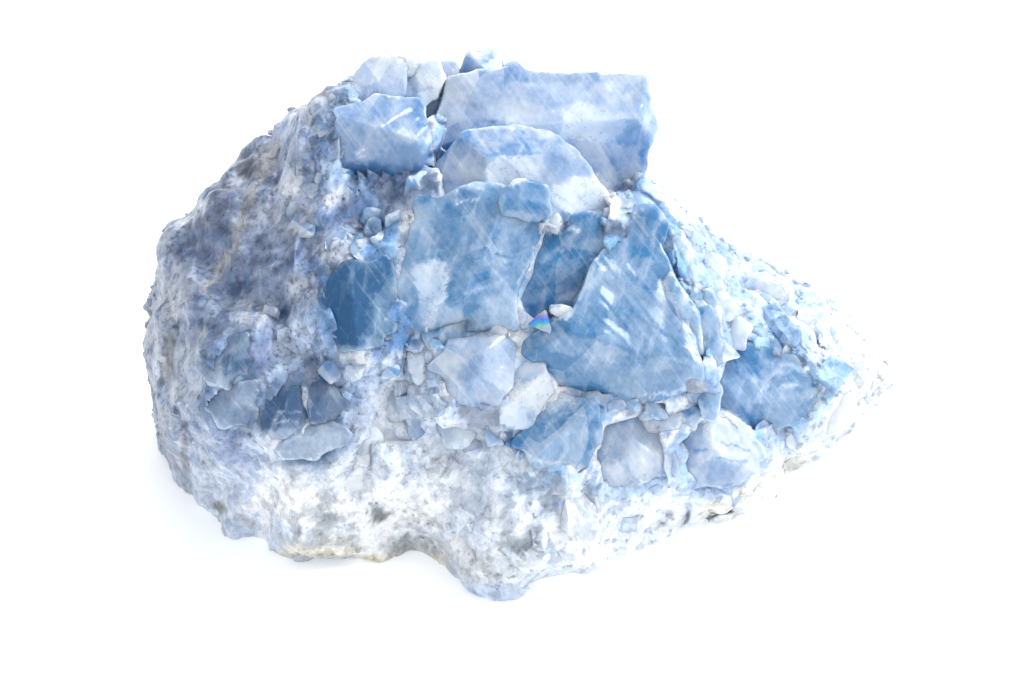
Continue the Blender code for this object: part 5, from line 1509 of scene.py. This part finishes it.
def facetedBody(normals, reaches):
    # A convex body from flat faces n.p = r: its corners are where three faces meet and no
    # other cuts them off, and each face lists its corners in order round its middle.
    picks = np.array([(i, j, k) for i in range(len(normals)) for j in range(i)
                      for k in range(j)])
    systems = normals[picks]
    solid = np.abs(np.linalg.det(systems)) > 1e-6
    picks, systems = picks[solid], systems[solid]
    corners = np.linalg.solve(systems, reaches[picks][..., None])[..., 0]
    corners = corners[(corners @ normals.T <= reaches + 1e-6).all(axis=1)]
    _, keep = np.unique(np.round(corners, 5), axis=0, return_index=True)
    corners = corners[np.sort(keep)]
    faces = []
    for normal, reach in zip(normals, reaches):
        on = np.flatnonzero(np.abs(corners @ normal - reach) < 1e-5)
        if len(on) < 3:
            continue
        off = corners[on] - corners[on].mean(axis=0)
        first = unit(off[0])
        # a hair past the first corner, so that the corners' order doesn't hang on rounding
        angle = np.arctan2(off @ np.cross(normal, first), off @ first) + smallStep
        faces.append(on[np.argsort(angle % (2 * math.pi))].tolist())
    return corners, faces


def smallCrystal(row):
    # A blocky crystal with a roof-shaped end, one bevelled end corner and one cut side corner.
    spot, growth, side, (width, thick, height) = row[:3], row[3:6], row[6:9], row[9:12]
    across = np.cross(growth, side)
    root = spot - growth * height * crust["sunk"]
    corner = unit(side + across)
    normals = [side, -side, across, -across, -growth]
    reaches = [width / 2, width / 2, thick / 2, thick / 2, height]
    for slope in crust["roof"]:
        normals.append(growth + across * slope)
        reaches.append(height)
    start, slope = crust["endBevel"]
    normals.append(growth + side * slope)
    reaches.append(height + width * start * slope)
    normals.append(corner)
    reaches.append(width * crust["cornerCut"])
    normals.append(np.array((0.0, 0.0, -1.0)))  # cut level with the foot
    reaches.append(root[2])
    normals, reaches = np.array(normals), np.array(reaches)
    size = np.linalg.norm(normals, axis=1)
    corners, faces = facetedBody(normals / size[:, None], reaches / size)
    return corners + root, faces


def makeSmallCrystals(name, rows, seed):
    rng = np.random.default_rng(seed)
    rows = rows[~underCrystals(rows[:, :3] + rows[:, 3:6] * smallCrystals["tested"] * rows[:, 9:10])]
    rows = rows[nearCrystals(toSlope(rows[:, :3]))[0] > smallCrystals["clearOf"]]
    rows = rows[rows[:, 2] > smallCrystals["lowest"]]
    rows[:, :3] = bankRock(rows[:, :3], rows[:, 12:15])
    relief, _ = blockRelief(rows[:, :3])
    rows[:, :3] += rows[:, 12:15] * relief[:, None]
    dull = dullness(rows[:, :3], rows[:, 12:15])
    sunk = smallCrystals["sunk"][0] + smallCrystals["sunk"][1] * dull
    rows[:, :3] -= rows[:, 12:15] * sunk[:, None] * rows[:, 11:12]
    shapes = [smallCrystal(row) for row in rows]
    points, faces, owner = joined([
        (*shape, np.full(len(shape[0]), number)) for number, shape in enumerate(shapes)])
    tone = groundColour(rows[:, :3], rows[:, 12:15])
    dull = dullness(rows[:, :3], rows[:, 12:15])
    change = rng.uniform(*smallCrystals["tones"], len(rows)) * (1 - dull)
    tone = tone * (1 + change[:, None]) ** smallCrystals["tinge"]
    piece = addPiece(name, points, faces, druseMaterial, "clear_celestite", (),
                     {"tone": np.clip(tone[owner], 0, 1), "dull": dull[owner]})
    bevel = piece.modifiers.new("worn edges", "BEVEL")
    bevel.width = smallCrystals["bevel"] * mm
    bevel.segments = 2
    bevel.limit_method = "ANGLE"


makeSmallCrystals("crust_crystals", crystalPlaces(crust["patches"], crust["seed"]), 3)
makeSmallCrystals("small_crystals", crystalPlaces(smallCrystals["patches"], smallCrystals["seed"]), 4)

# Sugary druse: thousands of tiny crystals all over the rock

druse = {
    "seed": 41,
    "tries": 8,  # spots drawn for each that is kept
    "length": (0.02, 0.98),  # along the rock
    "facing": (-0.1, 0.25),
    "fade": (-28.0, -5.0),  # mm across, towards the dull left
    "lowest": 1.0,  # mm over the floor
    "lean": 0.35,
    "small": 2.2,  # how much more common the small ones are
    "stretch": ((0.8, 1.5), (0.6, 1.0), (0.7, 1.2)),
    "uneven": 0.07,
    "sunk": 0.15,  # mm
    "tones": (0.86, 1.12),
    "tinge": (1.5, 1.0, 0.6),
    "front": (1500, (0.2, 0.6)),  # count and size in mm
    "back": (1500, (0.25, 0.7)),
}
# A tiny crystal on the unit square: four root corners, four shoulders and two ridge ends.
drusePoints = np.array([
    (-0.5, -0.5, -0.6), (0.5, -0.5, -0.6), (0.5, 0.5, -0.6), (-0.5, 0.5, -0.6),
    (-0.5, -0.5, 0.45), (0.5, -0.5, 0.55), (0.5, 0.5, 0.4), (-0.5, 0.5, 0.5),
    (-0.3, 0.05, 0.9), (0.32, -0.05, 1.0),
])
druseFaces = [
    (0, 1, 5, 4), (1, 2, 6, 5), (2, 3, 7, 6), (3, 0, 4, 7), (4, 5, 9, 8), (6, 7, 8, 9),
    (5, 6, 9), (7, 4, 8), (3, 2, 1, 0),
]


def makeDruse(name, count, sizes, front, seed):
    # Spots drawn evenly by area on the rock, on the crystals' side or on the other; each tiny
    # crystal is the shape above, turned, stretched and pushed about at its corners.
    rng = np.random.default_rng(seed)
    tries = count * druse["tries"]
    share, turn = rng.uniform(*druse["length"], tries), rng.uniform(0, 2 * math.pi, tries)
    spot, normal = rockFacing(share, turn)
    area = np.linalg.norm(normal, axis=1)
    normal = unit(normal)
    facing = normal @ slopeAxes[2]
    side = smoothStep(*(druse["facing"] if front else druse["facing"][::-1]), facing)
    if front:
        side = side * smoothStep(*druse["fade"], spot[:, 0])
    chance = area * side * (spot[:, 2] > druse["lowest"]) * ~underCrystals(spot)
    pick = rng.choice(tries, count, replace=False, p=chance / chance.sum())
    spot, normal = spot[pick], normal[pick]
    growth = unit(normal + rng.normal(scale=druse["lean"], size=(count, 3)))
    first = unit(np.cross(growth, rng.normal(size=(count, 3))))
    second = np.cross(growth, first)
    size = sizes[0] + (sizes[1] - sizes[0]) * rng.random((count, 1)) ** druse["small"]
    stretch = np.concatenate([rng.uniform(*own, (count, 1)) for own in druse["stretch"]], axis=1)
    uneven = rng.normal(scale=druse["uneven"], size=(count, len(drusePoints), 3))
    local = drusePoints[None] + uneven
    local = local * (size * stretch)[:, None, :]
    axes = np.stack((first, second, growth), axis=1)
    base = bankRock(spot, normal)
    relief, _ = blockRelief(base)
    base = base + normal * relief[:, None]
    points = base[:, None] - normal[:, None] * druse["sunk"] + local @ axes
    tone = groundColour(spot, normal) * rng.uniform(*druse["tones"], (count, 1)) ** druse["tinge"]
    tone = np.repeat(np.clip(tone, 0, 1), len(drusePoints), axis=0)
    dull = np.repeat(dullness(spot, normal), len(drusePoints))
    shift = np.arange(count)[:, None] * len(drusePoints)
    quads = (np.array(druseFaces[:6] + druseFaces[8:])[None] + shift[..., None]).reshape(-1, 4)
    ends = (np.array(druseFaces[6:8])[None] + shift[..., None]).reshape(-1, 3)
    points = points.reshape(-1, 3)
    points[:, 2] = np.maximum(points[:, 2], 0.0)
    material = druseMaterial if front else rockMaterial
    slot = "clear_celestite" if front else "geode_rock"
    addPiece(name, points, quads.tolist() + ends.tolist(), material, slot, (),
             {"tone": tone, "dull": dull})


makeDruse("druse", *druse["front"], True, druse["seed"])
makeDruse("rind_grains", *druse["back"], False, druse["seed"] + 1)

# The large crystals

slots = {"blue": "blue_celestite", "pale": "pale_celestite", "clear": "clear_celestite",
         "deep": "deep_celestite", "slate": "deep_celestite", "film": "clear_celestite"}


def addCrystals(name, shapes, kind, nodes=()):
    points, faces, frost, shade = joined(shapes)
    addPiece(name, points, faces, celestites[kind], slots[kind], nodes,
             {"frost": frost, "shade": shade}, smooth=True)


def makeClusters():
    for number, (node, crystals) in enumerate(clusters.items()):
        made = {}
        for order, spec in enumerate(crystals.values()):
            shape = crystalSurface(spec, 100 * number + 10 * order + 200)
            made.setdefault(spec["kind"], []).append(shape)
        for kind, shapes in sorted(made.items()):
            name = node if len(made) == 1 else f"{node}_{kind}"
            addCrystals(name, shapes, kind, [node])


makeClusters()

# Smaller crystals that can be told apart in the cluster, each placed one by one: middle across
# and uphill, width, height, turn in degrees, corners, rise over what it grows on, kind, frost
# and shade from dark to light.

growths = {
    "left hexagon": (-20.7, 10.2, 3.4, 3.0, 10, 6, 0.5, "pale", 0.1, 0.5),
    "second hexagon": (-18.2, 10.3, 2.6, 2.9, 0, 6, 0.4, "pale", 0.1, 0.4),
    "small square": (-14.7, 10.1, 2.8, 2.4, 45, 4, 0.5, "blue", 0.15, 0.4),
    "outlined": (-11.3, 10.5, 3.6, 4.4, 15, 6, 0.9, "clear", 0.35, 0.75),
    "dark dome": (-16.5, 24.9, 2.8, 3.3, 0, 7, 0.6, "deep", 0.0, 0.2),
    "beside the deep one": (-14.0, 17.4, 3.0, 7.5, 8, 6, -0.3, "blue", 0.2, 0.4),
    # Painted shade: a dark deep-blue crystal set in the nook.
    "dark nook": (-12.4, 13.4, 3.2, 3.2, 0, 5, 0.2, "deep", 0.0, 0.2),
    "white speck": (3.3, 26.0, 1.7, 2.3, 0, 5, 0.8, "clear", 0.9, 1.0),
    "lavender edge": (16.9, 16.4, 3.6, 11.0, 20, 6, 0.2, "blue", 0.15, 0.5),
    "lavender edge, outer": (19.9, 16.2, 3.8, 6.5, 12, 6, 0.6, "blue", 0.2, 0.6),
    "dark pocket": (13.4, 25.8, 4.4, 6.6, 10, 6, 0.2, "blue", 0.0, 0.3),
    "between the wedges": (19.9, 8.0, 3.2, 8.6, 5, 6, 0.2, "blue", 0.15, 0.5),
    "blue triangle": (13.6, 5.4, 4.4, 3.2, -10, 3, 0.5, "blue", 0.0, 0.35),
    "by the domes": (17.0, 0.6, 3.0, 5.4, 0, 5, 0.2, "clear", 0.3, 0.6),
    "under the wedge": (9.2, 6.4, 4.0, 2.6, -10, 5, 0.3, "pale", 0.3, 0.5),
    "flank dome": (26.7, 18.3, 5.6, 5.0, 0, 7, 0.8, "clear", 0.3, 0.5),
    "grey plate, upper": (0.6, -1.6, 9.8, 4.6, -12, 7, 0.4, "clear", 0.15, 0.4),
    "grey plate, lower": (1.8, -5.6, 8.2, 3.8, -14, 6, 0.4, "clear", 0.2, 0.5),
    "pale, left of the plates": (-10.2, 0.8, 4.6, 3.6, 15, 6, 0.5, "clear", 0.4, 0.6),
    "pale, under the round one": (-7.4, 3.6, 4.8, 4.4, -10, 6, 0.5, "clear", 0.3, 0.4),
    "pale, further left": (-13.5, 5.8, 4.6, 4.2, -15, 6, 0.5, "pale", 0.4, 0.7),
    "pale, below the left ones": (-17.2, 2.4, 4.2, 3.2, 0, 6, 0.4, "clear", 0.5, 0.8),
    # Painted shade: dark deep-blue crystals set in the hollow and the pit between the large crystals, over
    # the deep blue there.
    "deep hollow": (-16.6, 30.7, 6.8, 3.6, 0, 6, 2.4, "deep", 0.0, 0.15),
    "dark pit": (-9.9, 33.4, 3.8, 2.8, 10, 5, 1.2, "deep", 0.0, 0.2),
}
crest = {  # as above, with its place out of the slope instead of its rise
    "between the caps": (-11.6, 41.6, 6.6, 5.8, 10, 7, 16.5, "clear", 0.4, 0.6),
    "beside the cap": (-13.4, 43.6, 4.4, 2.8, 0, 6, 17.0, "clear", 0.5, 0.7),
    "rainbow": (2.1, 15.0, 4.2, 3.0, -40, 3, 28.7, "film", 0.0, 0.5),
    "glint beside it": (4.0, 16.5, 3.2, 1.4, -8, 5, 29.0, "clear", 1.0, 1.4),
    "seam by the flank": (16.1, 22.3, 3.8, 8.6, 20, 6, 24.4, "blue", 0.2, 0.6),
    "by the wedge": (19.9, 13.6, 3.4, 8.5, 12, 6, 26.8, "blue", 0.15, 0.6),
    "left of the cap": (-19.6, 39.2, 4.6, 4.4, 15, 6, 19.5, "pale", 0.3, 0.4),
}

# Crystals that fill the space between them, scattered: count, least and most across and uphill,
# width in mm, kinds to draw from, frost and shade.
fillers = {
    "among the crystals": (80, (-12, 21), (-1, 31), (2.4, 5.2), ("blue", "pale", "pale"), (0.0, 0.3),
        (0.4, 0.8)),
    "left of the main crystal": (16, (-20, -11), (12, 31), (2.0, 4.0), ("blue", "slate"), (0.0, 0.15),
        (0.2, 0.6)),
    "right flank": (60, (16, 40), (2, 27), (3.0, 6.5), ("pale", "clear", "clear"), (0.0, 0.3), (0.6, 1.0)),
    "lower front": (60, (-22, 26), (-10, 3), (1.8, 4.0), ("clear",), (0.2, 0.6), (0.6, 1.0)),
    "upper left": (12, (-27, -12), (24, 38), (1.8, 3.6), ("slate", "pale"), (0.1, 0.4), (0.3, 0.7)),
}
fillerSeed = 77
growing = {
    "corners": (0.18, (0.9, 1.12)),  # how uneven the corners are along the oval and out from it
    "tilts": (8, 26),  # degrees
    "fan": 2.1,  # radians between the ways that the end faces lean
    "shades": (-0.15, 0.15),
    "near": 1.5,  # mm round a place in which the rock's level is averaged
    "steepest": 0.35,  # least facing that the rock's fall is worked out with
    "mostFall": 1.6,  # most fall of the rock under a filler
    "closest": 0.36,  # share of two fillers' widths that must lie between them
    "clearOf": 0.2,  # mm from the large crystals
    "rises": (-0.5, 0.0),
    "crestDepth": 8.0,
}

rockAhead = toSlope(rockSurface)[::3]
rockLean = (rockNormals @ slopeAxes.T)[::3]
rockAhead, rockLean = rockAhead[rockLean[:, 2] > 0], rockLean[rockLean[:, 2] > 0]


def localSurface(across, uphill):
    # Where the rock or a large crystal stands at a place on the slope: how far out, and how much
    # the rock falls away to the right and uphill.
    near = np.hypot(rockAhead[:, 0] - across, rockAhead[:, 1] - uphill) < growing["near"]
    if not near.any():
        return 0.0, (0.0, 0.0)
    level = rockAhead[near, 2].mean()
    leaning = rockLean[near].mean(axis=0)
    fall = leaning[:2] / max(leaning[2], growing["steepest"])
    for spec in allCrystals:
        share, _ = footprint(spec, np.array([[across, uphill, spec["out"]]]))
        if share[0] < 1:
            level = max(level, spec["out"] + float(endHeight(spec, across, uphill)))
    return level, fall


def growthSpec(row, rng, follow):
    # The outline is a polygon with uneven corners on an oval; three end faces lean away from its
    # middle, on a fall that follows the rock by the given share.
    across, uphill, wide, high, turn, corners, rise, kind, frost, shade = row
    along, outwards = growing["corners"]
    angle = (np.arange(corners) + rng.uniform(-along, along, corners)) * 2 * math.pi / corners
    oval = np.stack((np.cos(angle) * wide, np.sin(angle) * high), axis=1) / 2
    oval = oval * rng.uniform(*outwards, (corners, 1))
    turned = math.radians(turn)
    c, s = math.cos(turned), math.sin(turned)
    outline = oval @ np.array([[c, s], [-s, c]]) + (across, uphill)
    way = rng.uniform(0, 2 * math.pi) + np.arange(3) * growing["fan"]
    tilt = np.tan(np.radians(rng.uniform(*growing["tilts"], 3)))
    size = min(wide, high)
    level, fall = localSurface(across, uphill)
    leans = [(t * math.cos(a) + follow * fall[0], t * math.sin(a) + follow * fall[1])
             for t, a in zip(tilt, way)]
    return dict(
        corners=outline, out=level + 0.7 * rise + 0.08 * size, depth=0.8 * size + 1.4,
        drift=(0.0, 0.0), grown=True, kind=kind, frost=frost,
        faces=[(*np.degrees(np.arctan(lean)), across, uphill) for lean in leans],
        shades=shade + rng.uniform(*growing["shades"], 3))


def scatterGrowths():
    # Random places, kept where no large crystal stands and no other filler is too close.
    rng = np.random.default_rng(fillerSeed)
    rows, taken = [], np.zeros((0, 3))
    for count, acrossRange, uphillRange, widths, kinds, frosts, shades in fillers.values():
        kept = 0
        for _ in range(count * 12):
            across, uphill = rng.uniform(*acrossRange), rng.uniform(*uphillRange)
            wide, high = rng.uniform(*widths, 2)
            far = np.hypot(taken[:, 0] - across, taken[:, 1] - uphill) / (taken[:, 2] + wide)
            if kept == count or (far < growing["closest"]).any():
                continue
            level, fall = localSurface(across, uphill)
            if level == 0 or np.hypot(*fall) > growing["mostFall"]:
                continue
            place = np.array([[across, uphill, level]])
            if nearCrystals(place)[0][0] < growing["clearOf"]:
                continue
            kept += 1
            taken = np.vstack((taken, (across, uphill, wide)))
            rows.append((
                across, uphill, wide, high, rng.uniform(0, 90), rng.integers(4, 7),
                rng.uniform(*growing["rises"]), rng.choice(kinds), rng.uniform(*frosts),
                rng.uniform(*shades)))
    return rows


def makeGrowths():
    specs = []
    for order, row in enumerate(growths.values()):
        specs.append(growthSpec(row, np.random.default_rng(700 + order), 0.0))
    for order, row in enumerate(crest.values()):
        spec = growthSpec(row, np.random.default_rng(760 + order), 0.0)
        spec.update(out=row[6], depth=growing["crestDepth"])
        specs.append(spec)
    rng = np.random.default_rng(fillerSeed + 1)
    specs += [growthSpec(row, rng, 1.0) for row in scatterGrowths()]
    made = {}
    for order, spec in enumerate(specs):
        shape = crystalSurface(spec, 900 + 10 * order)
        shape[0][:, 2] = np.maximum(shape[0][:, 2], 0.0)  # cut level with the foot
        made.setdefault(spec["kind"], []).append(shape)
    for kind, shapes in made.items():
        addCrystals("growths_" + kind, shapes, kind)


makeGrowths()

# Camera, floor and light

def makeCamera():
    data = bpy.data.cameras.new("camera")
    data.lens = studio["lens"]
    data.sensor_width = studio["film"]
    data.clip_start = 0.01
    camera = bpy.data.objects.new("camera", data)
    bpy.context.scene.collection.objects.link(camera)
    towards = Vector(slopeAxes[2])
    camera.location = Vector(studio["target"]) * mm + towards * studio["distance"] * mm
    camera.rotation_euler = (-towards).to_track_quat("-Z", "Y").to_euler()
    bpy.context.scene.camera = camera


def makeFloor():
    material, tree, output, place = newMaterial("white studio board")
    cloud = noise(tree, place, studio["floorGrain"])
    shader = addNode(tree, "ShaderNodeBsdfPrincipled", {
        "Base Color": (*linear(studio["floorColour"]), 1.0), "Specular IOR Level": 0.2,
        "Emission Color": (1, 1, 1, 1), "Emission Strength": studio["floorGlow"],
        "Roughness": ranged(tree, cloud, 0.0, 1.0, *studio["floorRoughness"])})
    tree.links.new(shader.outputs[0], output.inputs["Surface"])
    mesh = bpy.data.meshes.new("floor")
    half = studio["floorHalf"] * mm
    mesh.from_pydata([(-half, -half, 0), (half, -half, 0), (half, half, 0), (-half, half, 0)], [],
                     [(0, 1, 2, 3)])
    mesh.materials.append(material)
    floor = bpy.data.objects.new("floor", mesh)
    floor.location.z = studio["floorLevel"] * mm
    bpy.context.scene.collection.objects.link(floor)


def makeLight():
    # A room that is a little brighter on one side, and two square lamps.
    world = bpy.data.worlds.new("soft room")
    world.use_nodes = True
    tree = world.node_tree
    sky = tree.nodes["Background"]
    sky.inputs["Color"].default_value = (*studio["roomColour"], 1.0)
    way = addNode(tree, "ShaderNodeTexCoord").outputs["Generated"]
    lift = vectorOf(tree, "DOT_PRODUCT", way, studio["skyLift"], output="Value")
    tree.links.new(calculated(tree, "ADD", lift, studio["sky"]), sky.inputs["Strength"])
    bpy.context.scene.world = world
    for name, (place, side, power) in studio["lamps"].items():
        data = bpy.data.lights.new(name, "AREA")
        data.size = side * mm
        data.energy = power
        lamp = bpy.data.objects.new(name, data)
        lamp.location = Vector(place) * mm
        aim = Vector(studio["lampAim"]) - Vector(place)
        lamp.rotation_euler = aim.to_track_quat("-Z", "Y").to_euler()
        bpy.context.scene.collection.objects.link(lamp)
    bpy.context.scene.view_settings.view_transform = "Standard"


makeCamera()
makeFloor()
makeLight()
print("studio ready")
